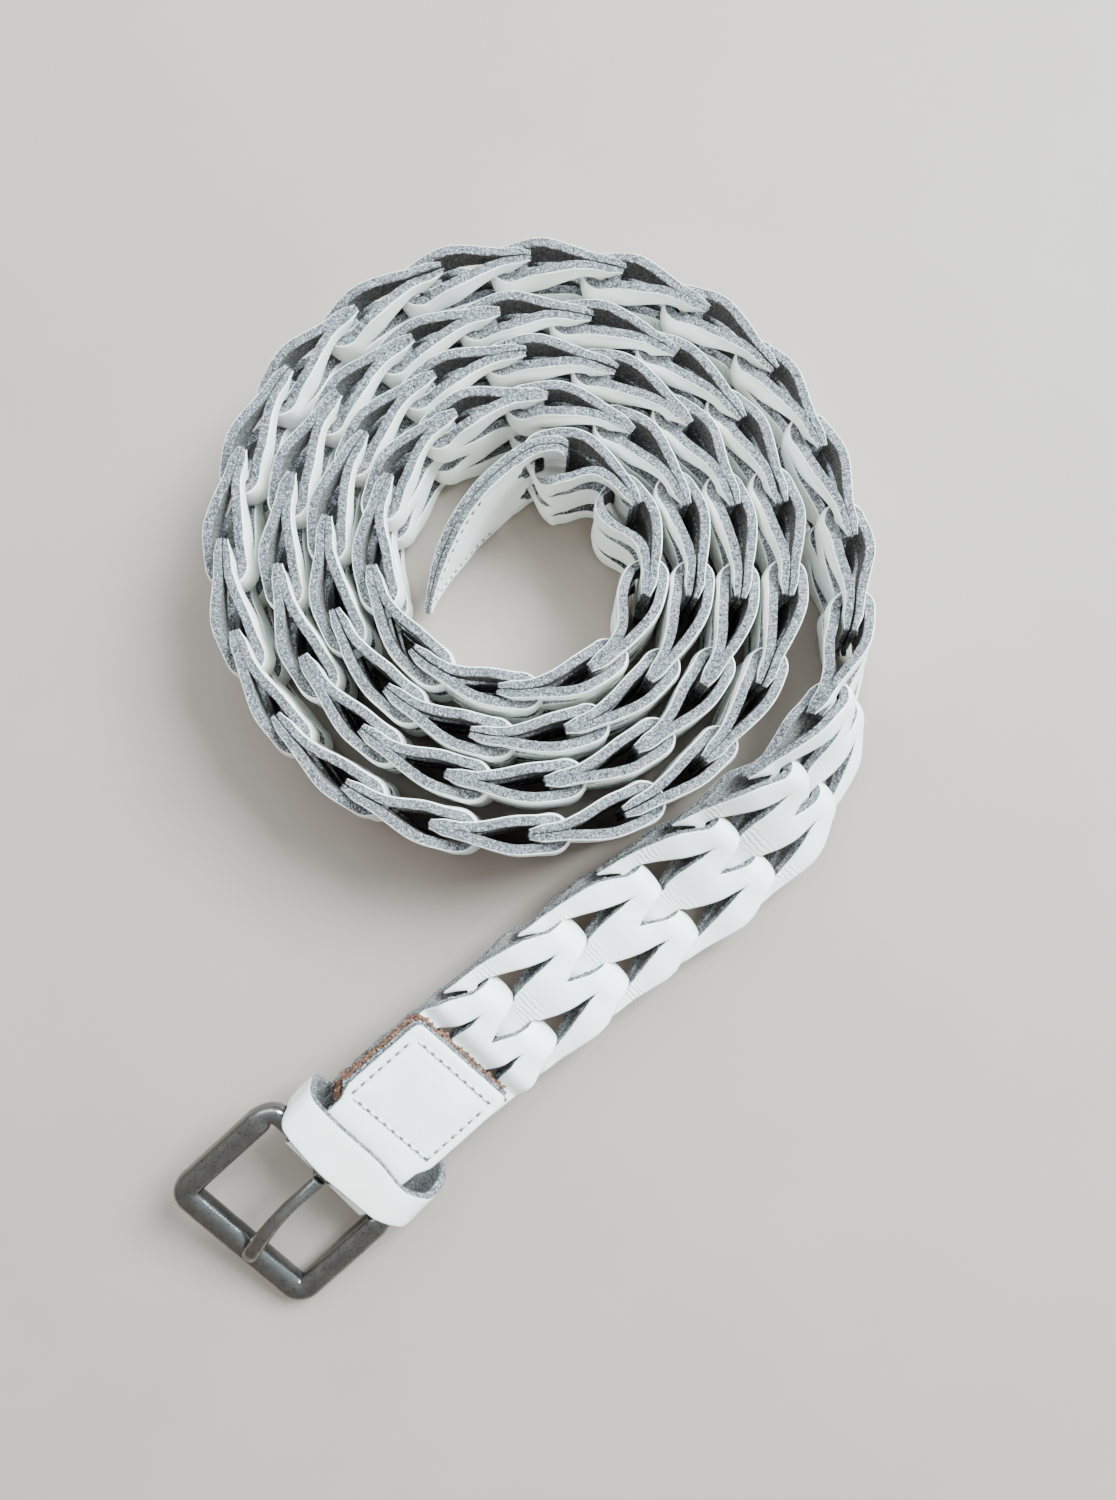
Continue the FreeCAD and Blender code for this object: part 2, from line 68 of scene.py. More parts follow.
def centre_line():
    """Plan points of the strap, how far along each is, and where the strap leaves the coil."""
    step = 0.25
    last_quarter = 16.87
    quarter = 0.28
    points = []
    while quarter < last_quarter:
        angle = math.pi / 2 * (1 - quarter)
        r = coil_radius(quarter)
        points.append((r * math.cos(angle), r * math.sin(angle)))
        quarter += step / (r * math.pi / 2)
    leave = len(points) - 1
    x, y = points[-1]
    heading = math.atan2(y - points[-2][1], x - points[-2][0])
    along = 0.0
    bend = 1 / coil_radius(last_quarter)
    while along < 256:
        turn = bend * (1 - 0.19 * float(ease(along / 44))) * (1 - float(ease((along - 44) / 72)))
        heading -= turn * step
        x += step * math.cos(heading)
        y += step * math.sin(heading)
        along += step
        points.append((x, y))
    # while it twists the strap swings clear of the coil
    path = np.array(points)
    before = path[np.maximum(np.arange(len(path)) - 1, 0)]
    after = path[np.minimum(np.arange(len(path)) + 1, len(path) - 1)]
    t = after - before
    t /= np.linalg.norm(t, axis=1)[:, None]
    u = np.clip(((np.arange(len(path)) - leave) * step + 10) / 117, 0, 1)
    swing = 5.6 * np.sin(math.pi * u) ** 2
    path = path + np.stack([-t[:, 1] * swing, t[:, 0] * swing], 1)
    # the free tip bends inwards, away from the first turn
    x, y = path[0]
    heading = math.atan2(y - path[1][1], x - path[1][0])
    tip = []
    along = 0.0
    while along < 52:
        heading += (0.097 if along < 10 else 0.022) * step
        x += step * math.cos(heading)
        y += step * math.sin(heading)
        along += step
        tip.append((x, y))
    path = np.concatenate([np.array(tip[::-1]), path])
    distance = np.concatenate([[0.0], np.cumsum(np.linalg.norm(np.diff(path, axis=0), axis=1))])
    distance -= distance[len(tip)] - 10.0
    return path, distance, distance[len(tip) + leave]


PATH, DISTANCE, LEAVE = centre_line()
TWIST_START, TWIST_END = LEAVE + 5, LEAVE + 99


def plan_point(s):
    return np.interp(s, DISTANCE, PATH[:, 0]), np.interp(s, DISTANCE, PATH[:, 1])


def direction(s):
    ax, ay = plan_point(np.asarray(s) - 0.8)
    bx, by = plan_point(np.asarray(s) + 0.8)
    length = np.hypot(bx - ax, by - ay)
    return (bx - ax) / length, (by - ay) / length


def belt_axes(s):
    """Centre, outer-face direction and width direction of the strap at distances s."""
    s = np.asarray(s, float)
    x, y = plan_point(s)
    tx, ty = direction(s)
    angle = math.radians(FLAT_TWIST) * ease((s - TWIST_START) / (TWIST_END - TWIST_START))
    c, n = np.cos(angle), np.sin(angle)
    lean = 0.12 * ease((s - TWIST_START - 15) / 60)
    height = WIDTH / 2 * c + 4.6 * n + FLAT_RISE * ease((s - TWIST_END + 10) / 42)
    centre = np.stack([x, y, height], -1)
    outward = np.stack([-ty * c, tx * c, n], -1)
    across = np.stack([ty * n + tx * lean, -tx * n + ty * lean, c], -1)
    return centre, outward, across


def belt_point(s, out, wide):
    centre, outward, across = belt_axes(s)
    return centre + outward * np.asarray(out)[..., None] + across * np.asarray(wide)[..., None]


# ---------------- noise for hand-made unevenness

def lattice(ix, iy, iz, seed):
    h = (ix * 374761393 + iy * 668265263 + iz * 2147483647 + seed * 1274126177) & 0xFFFFFFFF
    h = ((h ^ (h >> 13)) * 1103515245) & 0xFFFFFFFF
    return ((h ^ (h >> 16)) & 0xFFFF) / 32767.5 - 1.0


def noise(x, y, z, seed=0):
    """Smooth value noise between -1 and 1."""
    x, y, z = np.broadcast_arrays(np.asarray(x, float), np.asarray(y, float), np.asarray(z, float))
    ix, iy, iz = (np.floor(c).astype(np.int64) for c in (x, y, z))
    fx, fy, fz = ease(x - ix), ease(y - iy), ease(z - iz)
    total = 0.0
    for dx in (0, 1):
        for dy in (0, 1):
            for dz in (0, 1):
                share = (fx if dx else 1 - fx) * (fy if dy else 1 - fy) * (fz if dz else 1 - fz)
                total = total + share * lattice(ix + dx, iy + dy, iz + dz, seed)
    return total


# ---------------- cut leather sheets

def resample(loop, step):
    """Even points along a closed outline."""
    loop = np.asarray(loop, float)
    closed = np.concatenate([loop, loop[:1]])
    length = np.concatenate([[0.0], np.cumsum(np.linalg.norm(np.diff(closed, axis=0), axis=1))])
    count = max(int(round(length[-1] / step)), 8)
    at = np.arange(count) * length[-1] / count
    return np.stack([np.interp(at, length, closed[:, 0]), np.interp(at, length, closed[:, 1])], 1)


def inside(points, loop):
    x, y = points[:, 0][:, None], points[:, 1][:, None]
    ax, ay = loop[:, 0][None], loop[:, 1][None]
    bx, by = np.roll(loop[:, 0], -1)[None], np.roll(loop[:, 1], -1)[None]
    crosses = (ay > y) != (by > y)
    slope = np.where(by == ay, 1e-12, by - ay)
    return (np.sum(crosses & (x < (bx - ax) * (y - ay) / slope + ax), axis=1) % 2) == 1


def edge_distance(points, loops):
    best = np.full(len(points), 1e9)
    for loop in loops:
        a, b = loop, np.roll(loop, -1, axis=0)
        d = b - a
        for start in range(0, len(points), 2000):
            p = points[start:start + 2000]
            u = np.clip(((p[:, None] - a) * d).sum(-1) / np.maximum((d * d).sum(-1), 1e-12), 0, 1)
            gap = np.linalg.norm(p[:, None] - (a + u[..., None] * d), axis=2).min(1)
            best[start:start + 2000] = np.minimum(best[start:start + 2000], gap)
    return best


class Blank:
    """A flat cut-out: an outline with holes, filled with even triangles."""

    def __init__(self, outline, holes=(), edge_step=0.55, grid=0.95, rims=(0.16, 0.45)):
        self.loops = [resample(outline, edge_step)] + [resample(h, edge_step) for h in holes]
        points = np.concatenate(self.loops)
        edges = []
        first = 0
        for loop in self.loops:
            count = len(loop)
            edges += [(first + i, first + (i + 1) % count) for i in range(count)]
            first += count
        extra = []
        for loop in self.loops:
            along = np.roll(loop, -1, axis=0) - np.roll(loop, 1, axis=0)
            along /= np.maximum(np.linalg.norm(along, axis=1), 1e-9)[:, None]
            side = np.stack([-along[:, 1], along[:, 0]], 1)
            if not self.within(loop + side * 0.05).mean() > 0.5:
                side = -side
            for rim in rims:
                moved = loop + side * rim
                good = self.within(moved) & (edge_distance(moved, self.loops) > 0.9 * rim)
                extra.append(moved[good])
        low, high = self.loops[0].min(0), self.loops[0].max(0)
        rows = []
        for j, v in enumerate(np.arange(low[1], high[1], grid * 0.87)):
            us = np.arange(low[0] + (j % 2) * grid / 2, high[0], grid)
            rows.append(np.stack([us, np.full(len(us), v)], 1))
        fill = np.concatenate(rows)
        fill = fill[self.within(fill)]
        fill = fill[edge_distance(fill, self.loops) > rims[-1] + 0.4 * grid]
        points = np.concatenate([points] + extra + [fill])
        made = delaunay_2d_cdt([Vector(p) for p in points], edges, [], 1, 1e-5)
        self.points = np.array([tuple(v) for v in made[0]])
        faces = np.array([f for f in made[2] if len(f) == 3])
        middle = self.points[faces].mean(1)
        self.faces = faces[self.within(middle)]
        a, b, c = (self.points[self.faces[:, i]] for i in range(3))
        turn = (b[:, 0] - a[:, 0]) * (c[:, 1] - a[:, 1]) - (b[:, 1] - a[:, 1]) * (c[:, 0] - a[:, 0])
        self.faces[turn < 0] = self.faces[turn < 0][:, ::-1]
        self.depth = edge_distance(self.points, self.loops)
        self.rings = []
        for loop in self.loops:
            gap = np.linalg.norm(self.points[None] - loop[:, None], axis=2)
            self.rings.append(gap.argmin(1))

    def within(self, points):
        keep = inside(points, self.loops[0])
        for hole in self.loops[1:]:
            keep &= ~inside(points, hole)
        return keep


WALL_SHARES = (0.05, 0.26, 0.5, 0.74, 0.93)


def leather_sheet(name, blank, place, thickness, materials, grain_round=0.10, flesh_round=0.12,
                  ragged=0.2, seed=0):
    """A sheet of leather: smooth grain above, raw flesh below and ragged cut edges.
    place(u, v, h, depth) gives millimetres for points h above the middle of the sheet."""
    half = thickness / 2

    def drop(depth, radius):
        u = np.clip(1 - depth / radius, 0, 1)
        return radius * (1 - np.sqrt(np.maximum(1 - u * u, 0)))

    u, v, depth = blank.points[:, 0], blank.points[:, 1], blank.depth
    count = len(u)
    grain = half - drop(depth, grain_round)
    flesh = -half + drop(depth, flesh_round) + 0.05 * noise(u * 1.9, v * 1.9, 3.1, seed)
    uv = [np.stack([u, v], 1), np.stack([u, v], 1)]
    height = [grain, flesh]
    depths = [depth, depth]
    faces = [blank.faces, blank.faces[:, ::-1] + count]
    kinds = [np.zeros(len(blank.faces), int), np.ones(len(blank.faces), int)]
    total = 2 * count
    quads = []
    quad_kinds = []
    for ring, loop in zip(blank.rings, blank.loops):
        n = len(ring)
        along = np.roll(loop, -1, axis=0) - np.roll(loop, 1, axis=0)
        along /= np.maximum(np.linalg.norm(along, axis=1), 1e-9)[:, None]
        side = np.stack([along[:, 1], -along[:, 0]], 1)
        if blank.within(loop + side * 0.05).mean() > 0.5:
            side = -side
        rows = [ring]
        for row, share in enumerate(WALL_SHARES):
            h = grain[ring] * (1 - share) + flesh[ring] * share
            rough = noise(loop[:, 0] * 1.1, loop[:, 1] * 1.1, h * 1.6 + row * 0.7, seed + 5)
            rough = ragged * (0.5 * rough + noise(loop[:, 0] * 2.7, loop[:, 1] * 2.7, h * 3.0, seed + 6))
            # fibres pulled out by the knife stand proud along the flesh side
            fibres = noise(loop[:, 0] * 3.1, loop[:, 1] * 3.1, 0.4, seed + 7)
            burr = ragged * 3.4 * np.maximum(fibres - 0.15, 0)
            bulge = 0.02 + rough * (0.25 if row == 0 else 1.0) + burr * (share > 0.6)
            moved = loop + side * bulge[:, None]
            uv.append(moved)
            lumps = noise(loop[:, 0] * 2.3, loop[:, 1] * 2.3, row, seed + 9)
            height.append(h + (0.1 if row == 0 else 0.6) * ragged * lumps)
            depths.append(np.zeros(n))
            rows.append(np.arange(total, total + n))
            total += n
        rows.append(ring + count)
        for row, (a, b) in enumerate(zip(rows, rows[1:])):
            quads.append(np.stack([a, b, np.roll(b, -1), np.roll(a, -1)], 1))
            quad_kinds.append(np.full(n, 0 if row == 0 else 2))
    uv = np.concatenate(uv)
    height = np.concatenate(height)
    depths = np.concatenate(depths)
    where = place(uv[:, 0], uv[:, 1], height, depths) * MM
    tri = np.concatenate(faces)
    loops_flat = [tri.ravel()]
    totals = [np.full(len(tri), 3)]
    for q in quads:
        loops_flat.append(q.ravel())
        totals.append(np.full(len(q), 4))
    mesh = bpy.data.meshes.new(name)
    mesh.vertices.add(len(where))
    mesh.vertices.foreach_set("co", where.ravel())
    flat = np.concatenate(loops_flat)
    size = np.concatenate(totals)
    mesh.loops.add(len(flat))
    mesh.loops.foreach_set("vertex_index", flat)
    mesh.polygons.add(len(size))
    start = np.concatenate([[0], np.cumsum(size)[:-1]])
    mesh.polygons.foreach_set("loop_start", start)
    mesh.polygons.foreach_set("loop_total", size)
    mesh.polygons.foreach_set("material_index", np.concatenate(kinds + quad_kinds))
    mesh.polygons.foreach_set("use_smooth", np.ones(len(size), bool))
    mesh.update(calc_edges=True)
    mesh.validate()
    cut = mesh.attributes.new("cut", "FLOAT_VECTOR", "POINT")
    cut.data.foreach_set("vector", np.stack([uv[:, 0], uv[:, 1], height], 1).ravel())
    rim = mesh.attributes.new("rim", "FLOAT", "POINT")
    rim.data.foreach_set("value", depths)
    for material in materials:
        mesh.materials.append(material)
    item = bpy.data.objects.new(name, mesh)
    bpy.context.scene.collection.objects.link(item)
    turn_outwards(mesh)
    return item


def hand_over(piece, node, body):
    """Hides the CAD node a piece stands for and hangs the piece on the body it moves with."""
    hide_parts(node)
    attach(piece, body)


def turn_outwards(mesh):
    work = bmesh.new()
    work.from_mesh(mesh)
    bmesh.ops.recalc_face_normals(work, faces=work.faces)
    work.to_mesh(mesh)
    work.free()


# ---------------- materials

class Nodes:
    """A short way to build a node material."""

    def __init__(self, name):
        self.material = bpy.data.materials.new(name)
        self.material.use_nodes = True
        self.tree = self.material.node_tree
        self.shader = self.tree.nodes["Principled BSDF"]

    def add(self, kind, **settings):
        node = self.tree.nodes.new(kind)
        for key, value in settings.items():
            if hasattr(node, key):
                setattr(node, key, value)
            else:
                node.inputs[key.replace("_", " ")].default_value = value
        return node

    def join(self, source, target):
        self.tree.links.new(source, target)

    def mix(self, factor, first, second, blend="MIX"):
        node = self.add("ShaderNodeMix", data_type="RGBA", blend_type=blend)
        for socket, value in ((node.inputs[0], factor), (node.inputs[6], first), (node.inputs[7], second)):
            if isinstance(value, bpy.types.NodeSocket):
                self.join(value, socket)
            elif isinstance(value, (int, float)):
                socket.default_value = value
            else:
                socket.default_value = (*value, 1.0)
        return node.outputs[2]

    def maths(self, operation, first, second=0.0):
        node = self.add("ShaderNodeMath", operation=operation)
        for socket, value in zip(node.inputs, (first, second)):
            if isinstance(value, bpy.types.NodeSocket):
                self.join(value, socket)
            else:
                socket.default_value = value
        return node.outputs[0]

    def spread(self, value, low, high, to_low=0.0, to_high=1.0):
        node = self.add("ShaderNodeMapRange")
        self.join(value, node.inputs["Value"])
        for key, number in zip(("From Min", "From Max", "To Min", "To Max"), (low, high, to_low, to_high)):
            node.inputs[key].default_value = number
        return node.outputs[0]

    def noise(self, vector, scale, detail=3.0, roughness=0.55):
        node = self.add("ShaderNodeTexNoise")
        self.join(vector, node.inputs["Vector"])
        node.inputs["Scale"].default_value = scale
        node.inputs["Detail"].default_value = detail
        node.inputs["Roughness"].default_value = roughness
        return node.outputs["Fac"]

    def bump(self, height, strength, distance, after=None):
        node = self.add("ShaderNodeBump")
        self.join(height, node.inputs["Height"])
        node.inputs["Strength"].default_value = strength
        node.inputs["Distance"].default_value = distance
        if after is not None:
            self.join(after, node.inputs["Normal"])
        return node.outputs["Normal"]

    def place(self):
        """Object space in millimetres."""
        coordinates = self.add("ShaderNodeTexCoord")
        scale = self.add("ShaderNodeVectorMath", operation="SCALE")
        self.join(coordinates.outputs["Object"], scale.inputs[0])
        scale.inputs["Scale"].default_value = 1000.0
        return scale.outputs[0]

    def attribute(self, name):
        return self.add("ShaderNodeAttribute", attribute_name=name)

    def finish(self, colour, roughness, normal=None, **values):
        for key, value in (("Base Color", colour), ("Roughness", roughness)):
            if isinstance(value, bpy.types.NodeSocket):
                self.join(value, self.shader.inputs[key])
            elif isinstance(value, (int, float)):
                self.shader.inputs[key].default_value = value
            else:
                self.shader.inputs[key].default_value = (*value, 1.0)
        if normal is not None:
            self.join(normal, self.shader.inputs["Normal"])
        for key, value in values.items():
            self.shader.inputs[key.replace("_", " ")].default_value = value
        return self.material


def grain_leather(name, tint=(0.95, 0.955, 0.93), crease=True):
    """Finished ivory grain: fine pores, soft creases where a leg bends, faint handling marks."""
    n = Nodes(name)
    place = n.place()
    cloudy = n.noise(place, 0.09, 2.0)
    warm = n.mix(n.spread(cloudy, 0.35, 0.7), tint, (tint[0] * 0.97, tint[1] * 0.945, tint[2] * 0.88))
    rim = n.attribute("rim").outputs["Fac"]
    near_edge = n.spread(rim, 0.0, 0.5, 1.0, 0.0)
    colour = n.mix(n.maths("MULTIPLY", near_edge, 0.22), warm, (0.62, 0.58, 0.52))
    specks = n.noise(place, 1.7, 1.0)
    colour = n.mix(n.spread(specks, 0.72, 0.78, 0.0, 0.18), colour, (0.55, 0.50, 0.44))
    pores = n.add("ShaderNodeTexVoronoi", feature="DISTANCE_TO_EDGE")
    n.join(place, pores.inputs["Vector"])
    pores.inputs["Scale"].default_value = 3.4
    fine = n.noise(place, 5.5, 3.0)
    normal = n.bump(pores.outputs["Distance"], 0.10, 0.00012)
    normal = n.bump(fine, 0.10, 0.00010, normal)
    if crease:
        # wrinkles run across a leg where it comes out from under the next head
        cut = n.attribute("cut")
        split = n.add("ShaderNodeSeparateXYZ")
        n.join(cut.outputs["Vector"], split.inputs[0])
        along = n.maths("ABSOLUTE", split.outputs["X"])
        wander = n.noise(cut.outputs["Vector"], 0.55, 2.0)
        phase = n.maths("ADD", n.maths("MULTIPLY", along, 6.5), n.maths("MULTIPLY", wander, 11.0))
        wave = n.maths("SINE", phase)
        rise = n.spread(along, 14.5, 17.5)
        fall = n.spread(along, 20.0, 22.5, 1.0, 0.0)
        patch = n.spread(n.noise(place, 0.16, 1.0), 0.42, 0.62)
        amount = n.maths("MULTIPLY", n.maths("MULTIPLY", rise, fall), patch)
        folds = n.maths("MULTIPLY", n.maths("ADD", wave, 1.0), amount)
        normal = n.bump(folds, 0.35, 0.00022, normal)
    return n.finish(colour, 0.42, normal, Specular_IOR_Level=0.42)


def raw_leather(name, light, dark, pale, rough=0.8):
    """Cut edge or flesh side: speckled, fibrous and matt."""
    n = Nodes(name)
    place = n.place()
    blotch = n.noise(place, 0.5, 3.0, 0.6)
    grit = n.noise(place, 1.5, 5.0, 0.85)
    hair = n.noise(place, 2.6, 4.0, 0.8)
    colour = n.mix(n.spread(grit, 0.44, 0.56), dark, light)
    colour = n.mix(n.spread(blotch, 0.35, 0.7, 0.0, 0.35), colour, light)
    colour = n.mix(n.spread(hair, 0.53, 0.60), colour, pale)
    colour = n.mix(n.spread(hair, 0.36, 0.43, 0.8, 0.0), colour, dark)
    normal = n.bump(grit, rough, 0.0008)
    normal = n.bump(hair, 0.8 * rough, 0.0005, normal)
    return n.finish(colour, 0.95, normal, Specular_IOR_Level=0.15)


GRAIN = grain_leather("ivory_grain")
FLESH = raw_leather("raw_flesh", (0.26, 0.235, 0.225), (0.10, 0.088, 0.084), (0.46, 0.43, 0.42))
CUT = raw_leather("raw_edge", (0.31, 0.295, 0.315), (0.065, 0.062, 0.07), (0.88, 0.86, 0.86), 1.0)
FILLER = raw_leather("tan_filler", (0.27, 0.115, 0.07), (0.035, 0.017, 0.013), (0.66, 0.36, 0.25), 1.0)
PLAIN_GRAIN = grain_leather("ivory_grain_smooth", crease=False)
LEATHERS = [GRAIN, FLESH, CUT]
SMOOTH_LEATHERS = [PLAIN_GRAIN, FLESH, CUT]


# ---------------- one link

def hairpin_reach(cavity):
    """Half the mid-surface length of the fold."""
    return math.pi / 2 * (cavity + LEATHER / 2)


def link_blank(cavity, edge_step, grid):
    """The unfolded link: u runs over the fold (0 is the fold's ridge), v across the strap."""
    reach = hairpin_reach(cavity)
    end = reach + LINK_LENGTH
    # from the ridge's outer end, down the outer leg and round the cut end to its middle
    side = [(0, 9.25), (2.5, 9.3), (reach, 9.75), (reach + 2.2, 10.9), (reach + 4.4, 11.9),
            (reach + 7, 12.4), (reach + 12, 12.5), (end - 0.5, 12.5), (end, 12.35), (end - 0.3, 12.0),
            (end - 2.2, 11.05), (end - 3.6, 10.1), (end - 3.3, 9.5), (end - 0.8, 9.2), (end - 0.8, 0.0)]
    right = side + [(u, -v) for u, v in reversed(side[:-1])]
    left = [(-u, -v) for u, v in side[1:]] + [(-u, v) for u, v in reversed(side[1:-1])]
    outline = np.array(right + left)
    # a slot beside the middle leg starts in a point and widens towards the cut end
    tip = reach + 1.5
    slot = [(tip, 5.6), (tip + 2.6, 6.05), (tip + 5.6, 7.0), (tip + 8.6, 8.15), (tip + 11.6, 9.2),
            (tip + 13.0, 9.6), (tip + 15.2, 9.65), (tip + 15.9, 9.1), (tip + 15.9, 3.2),
            (tip + 15.2, 2.55), (tip + 12.6, 2.6), (tip + 11.6, 3.4), (tip + 8.6, 4.3),
            (tip + 5.6, 4.9), (tip + 2.6, 5.2)]
    holes = []
    for face in (1, -1):
        for wide in (1, -1):
            holes.append(np.array([(face * u, wide * v) for u, v in slot]))
    # the notch between the two heads
    notch = [(reach + 4.3, 0.0), (reach + 2.4, 0.85), (reach, 1.9), (reach - 2.4, 2.6), (0.0, 2.85)]
    ring = notch + [(-u, v) for u, v in reversed(notch[:-1])]
    ring += [(-u, -v) for u, v in notch[1:]] + [(u, -v) for u, v in reversed(notch[1:-1])]
    holes.append(np.array(ring))
    return Blank(outline, holes, edge_step, grid)


def link_place(index, cavity, closed_at, open_to):
    """Folds the blank and lays it along the strap, with the unevenness of a hand-threaded link."""
    rng = np.random.default_rng(1000 + index)
    fold = FIRST_FOLD + PITCH * index + rng.uniform(-0.3, 0.3)
    reach = hairpin_reach(cavity)
    roomy = cavity * rng.uniform(0.84, 1.12)
    lift = rng.uniform(-0.15, 0.15)
    wander = rng.uniform(0, 50, 2)
    rise = rng.uniform(0.0, 0.45)
    closed_at += rng.uniform(-1.2, 0.6)
    tail_gap = rng.uniform(0.05, 0.3)
    buckled = {0: 4.2, 1: 3.8, 2: 1.6}.get(index, 0.0)
    pushed = {0: 5.4, 1: 2.2, 2: 0.8}.get(index, 0.0)

    def place(u, v, h, depth):
        w = np.abs(u) - reach
        side = np.where(u >= 0, 1.0, -1.0)
        body = np.clip((closed_at - w) / (closed_at - open_to), 0, 1)
        slope = -6 * body * (1 - body) / (closed_at - open_to) * (roomy - tail_gap)
        # the tails are pressed thinner where the next link grips them
        pressed = 1 - 0.18 * ease((w - 13) / 5) - 0.32 * ease((w - 19.2) / 3.2)
        middle = tail_gap + LEATHER / 2 * pressed + (roomy - tail_gap) * ease(body)
        middle = middle + LEATHER / 2 * (1 - pressed) * ease(body)
        # the heads puff up between their edges, and every edge curls down a little
        puff = 0.30 * np.clip(1 - ((np.abs(v) - 6.2) / 3.3) ** 2, 0, 1) * ease((4.0 - w) / 4.0)
        curl = 0.16 * np.exp(-depth / 0.9)
        waves = 0.16 * noise(u * 0.16, v * 0.16, wander[0], index)
        h = h * pressed + puff - curl + waves
        norm = np.sqrt(1 + slope ** 2)
        x_flat = w - slope * h / norm
        y_flat = side * (middle + h / norm)
        angle = np.clip(np.abs(u) / reach, 0, 1) * math.pi / 2
        radius = roomy + LEATHER / 2 + h
        x_bend = -radius * np.cos(angle)
        y_bend = side * radius * np.sin(angle)
        x = np.where(w > 0, x_flat, x_bend)
        y = np.where(w > 0, y_flat, y_bend)
        y = y + lift * ease((12 - w) / 8)
        # the first links can't lie along so tight a bend: their inner legs buckle inwards
        y = y - buckled * np.sin(np.clip(-u / (reach + 13), 0, 1) * math.pi) ** 2
        x = x - pushed * np.sin(np.clip(-u / (reach + 8), 0, 1) * math.pi) ** 2
        edge_wave = 0.35 * noise(u * 0.11, wander[1], v * 0.02, index + 40)
        wide = v + (rise + edge_wave) * (v + WIDTH / 2) / WIDTH
        return belt_point(fold + x, y, wide)

    return place


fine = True
blanks = {
    "snug": link_blank(SNUG, 0.36 if fine else 0.8, 1.1 if fine else 1.8),
    "easy": link_blank(EASY, 0.36 if fine else 0.8, 0.95 if fine else 1.8),
}
cad_groups = [[k] for k in range(6)] + [[k, k + 1] for k in range(6, 50, 2)] + [[k] for k in range(50, LINKS)]
node_of = {}
for group in cad_groups:
    for k in group:
        node_of[k] = "link_%02d" % k if len(group) == 1 else "links_%02d_%02d" % tuple(group)


def body_of_link(k):
    if k < LOOSE_FROM:
        return "coil"
    return "link_%02d" % k if k < LINKS - 1 else "buckle_end"


for k in range(LINKS):
    easy = k >= EASY_FROM
    cavity = EASY if easy else SNUG
    closed_at, open_to = (9.2, 4.8) if k == LINKS - 1 else (16.4, 5.2)
    link = leather_sheet("woven_link_%02d" % k, blanks["easy" if easy else "snug"],
                         link_place(k, cavity, closed_at, open_to), LEATHER, LEATHERS, seed=k)
    hand_over(link, node_of[k], body_of_link(k))


# ---------------- bands, threads and bars

def new_piece(name, points, faces, kinds, materials):
    """A closed mesh from points in millimetres; kinds gives each face's material."""
    mesh = bpy.data.meshes.new(name)
    mesh.from_pydata((np.asarray(points, float) * MM).tolist(), [], faces)
    mesh.polygons.foreach_set("material_index", kinds)
    mesh.polygons.foreach_set("use_smooth", np.ones(len(mesh.polygons), bool))
    for material in materials:
        mesh.materials.append(material)
    item = bpy.data.objects.new(name, mesh)
    bpy.context.scene.collection.objects.link(item)
    turn_outwards(mesh)
    return item


def grid_faces(rows, columns, close_rows, close_columns):
    faces = []
    for i in range(rows if close_rows else rows - 1):
        for j in range(columns if close_columns else columns - 1):
            i2, j2 = (i + 1) % rows, (j + 1) % columns
            faces.append((i * columns + j, i2 * columns + j, i2 * columns + j2, i * columns + j2))
    return faces


def in_frame(matrix, x, y, z):
    """Points given in a frame's own millimetres, as millimetres in the belt's frame."""
    m = np.array(matrix)
    points = np.stack(np.broadcast_arrays(x, y, z), -1)
    return points @ m[:3, :3].T + m[:3, 3]


def unit(v):
    return v / np.maximum(np.linalg.norm(v, axis=-1), 1e-9)[..., None]


def thread_bead(middle, along, upwards, length, width, height, rings=9, spokes=8):
    """One stitch: a fat pass of thread, pinched where it dives into its holes."""
    middle, along, upwards = (np.asarray(v, float) for v in (middle, along, upwards))
    sideways = np.cross(upwards, along)
    points = [middle - along * length / 2 - upwards * 0.1]
    for i in range(1, rings):
        u = i / rings * 2 - 1
        fat = (1 - u ** 4) ** 0.5
        for j in range(spokes):
            angle = 2 * math.pi * j / spokes
            offset = sideways * math.cos(angle) * width / 2 * fat
            offset = offset + upwards * math.sin(angle) * height / 2 * fat
            points.append(middle + along * u * length / 2 + offset - upwards * 0.12 * u * u)
    points.append(middle + along * length / 2 - upwards * 0.1)
    faces = [(0, 1 + (j + 1) % spokes, 1 + j) for j in range(spokes)]
    for i in range(rings - 2):
        for j in range(spokes):
            a, b = 1 + i * spokes + j, 1 + i * spokes + (j + 1) % spokes
            faces.append((a, b, b + spokes, a + spokes))
    last = len(points) - 1
    first = last - spokes
    faces += [(last, first + j, first + (j + 1) % spokes) for j in range(spokes)]
    return points, faces


def stitch_row(name, stitches, node, body):
    """Thread passes with dark beads between them that paint the shade of the pinched needle holes, as one
    piece.
    """
    points, faces, kinds = [], [], []
    for middle, along, upwards, length in stitches:
        thread = (0, 0.0, (length * 0.64, 0.5, 0.42))
        # the second, dark bead of each stitch is painted shade in its needle hole
        hole = (1, 0.5, (length * 0.42, 0.46, 0.36))
        for kind, shift_along, size in (thread, hole):
            centre = np.asarray(middle) + np.asarray(along) * length * shift_along
            made, joined = thread_bead(centre, along, upwards, *size)
            faces += [tuple(i + len(points) for i in face) for face in joined]
            kinds += [kind] * len(joined)
            points += made
    piece = new_piece(name, points, faces, kinds, [THREAD, HOLE_SHADE])
    hand_over(piece, node, body)


def thread_material():
    n = Nodes("waxed_thread")
    place = n.place()
    twist = n.noise(place, 4.0, 2.0)
    colour = n.mix(n.spread(twist, 0.4, 0.62), (0.58, 0.55, 0.49), (0.90, 0.88, 0.82))
    return n.finish(colour, 0.6, n.bump(twist, 0.5, 0.0002))


